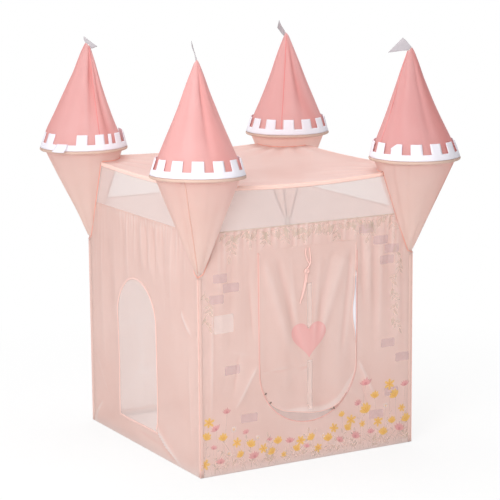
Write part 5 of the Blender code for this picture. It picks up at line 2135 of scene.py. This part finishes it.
for number in range(TWIGS):
    along, height = garland_place(number)
    stem((along, height), garland_place(number + 1), ink="twig")
    for k in range(2):
        size = 0.04 + 0.01 * drift(number, k)
        lean = math.pi + 1.1 * drift(number, k + 4)
        ink = ("garland", "leaf", "grass")[(number + k) % 3]
        spot = (along + 0.013 * k, height + 0.002 * drift(number, k + 8))
        stamp(ink, turned(leaf(size, size * 0.36), lean, spot))
    if number % 3 == 1:
        foot = (along + 0.024 * drift(number, 3), height - 0.06 - 0.022 * drift(number, 4))
        sprig((along, height - 0.006), foot, 2, 0.033, 0.008, ("grass", "garland")[number % 2], plump=0.38)
VINES = (
    (
        (0.398, 0.812), (0.418, 0.752), (0.4, 0.694), (0.384, 0.636), (0.398, 0.578), (0.386, 0.52),
        (0.412, 0.474),
    ),
    ((-0.446, 0.716), (-0.428, 0.668), (-0.444, 0.622), (-0.43, 0.58)),
)
for spots in VINES:
    for number, (foot, head) in enumerate(zip(spots, spots[1:])):
        sprig(foot, head, 1 + number % 2, 0.027, 0.01 * drift(number), ("twig", "leaf")[number % 2])
BRICKS = (
    (-0.412, 0.74), (-0.372, 0.7), (-0.43, 0.662), (0.296, 0.816), (0.346, 0.778), (0.322, 0.736),
    (-0.366, 0.384), (0.33, 0.404), (0.346, 0.206), (0.276, 0.122), (-0.3, 0.19), (0.226, 0.866),
    (-0.262, 0.846), (0.396, 0.34),
)
for number, spot in enumerate(BRICKS):
    block(spot, 0.066 + 0.006 * drift(number), 0.034)
block((-0.412, 0.548), 0.086, 0.07, "pale")
print("Printed patches:", {name: len(rows) for name, rows in patches.items()})

# %% Laying the print on the cloth
LONGEST_CHORD = 0.006
# Each patch lies this much above the one before it, in rounds of eight, so that crossing ones stay apart
PATCH_STEP, PATCH_ROUND = 0.000012, 8


def has_room(along, height):
    """Whether there is wall under a place: no door, tower or edge."""
    if abs(along) > HALF - 0.003 or not 0.005 < height < SEAM_HEIGHT - 0.003:
        return False
    if u_distance(along, height, DOOR_HALF + 0.007, DOOR_BOTTOM - 0.007, DOOR_TOP + 0.004) < 0:
        return False
    return height < 0.72 or inside_towers(side_point("front", along, HALF, height)) < -0.006


def lay_print(ink):
    material, lift = INKS[ink]
    shape = bmesh.new()
    map_layer = shape.loops.layers.uv.verify()
    for number, points in enumerate(patches[ink]):
        if all(has_room(a, h) for a, h in points):
            rise = PATCH_STEP * (number % PATCH_ROUND)
            shape.faces.new([shape.verts.new((a, h, rise)) for a, h in points])
    bmesh.ops.triangulate(shape, faces=shape.faces)
    for _ in range(4):
        long_edges = [e for e in shape.edges if e.calc_length() > LONGEST_CHORD]
        if long_edges:
            bmesh.ops.subdivide_edges(shape, edges=long_edges, cuts=1)
            bmesh.ops.triangulate(shape, faces=shape.faces)
    for face in shape.faces:
        for loop in face.loops:
            loop[map_layer].uv = loop.vert.co.xy
    for vert in shape.verts:
        vert.co = wall_point("front", vert.co.x, vert.co.y, lift + vert.co.z)
    for face in shape.faces:
        face.normal_update()
        if face.normal.y > 0:
            face.normal_flip()
    piece = keep_mesh(f"print_{ink}", shape, material)
    belong(piece, "tent", "peach_cloth")
    print(f"{piece.name}: {len(piece.data.polygons)} faces")


for ink_name in INKS:
    lay_print(ink_name)

# %% [markdown]
# ## The end
# The box round the dressed tent is written down beside the frame's own box, to see that the cloth stays
# with it.

# %% The end
bpy.ops.object.select_all(action="DESELECT")
dressed_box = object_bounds()
for name, box in (("Frame box", cad_box), ("Dressed box", dressed_box)):
    print(name, [[round(v, 3) for v in corner] for corner in box])
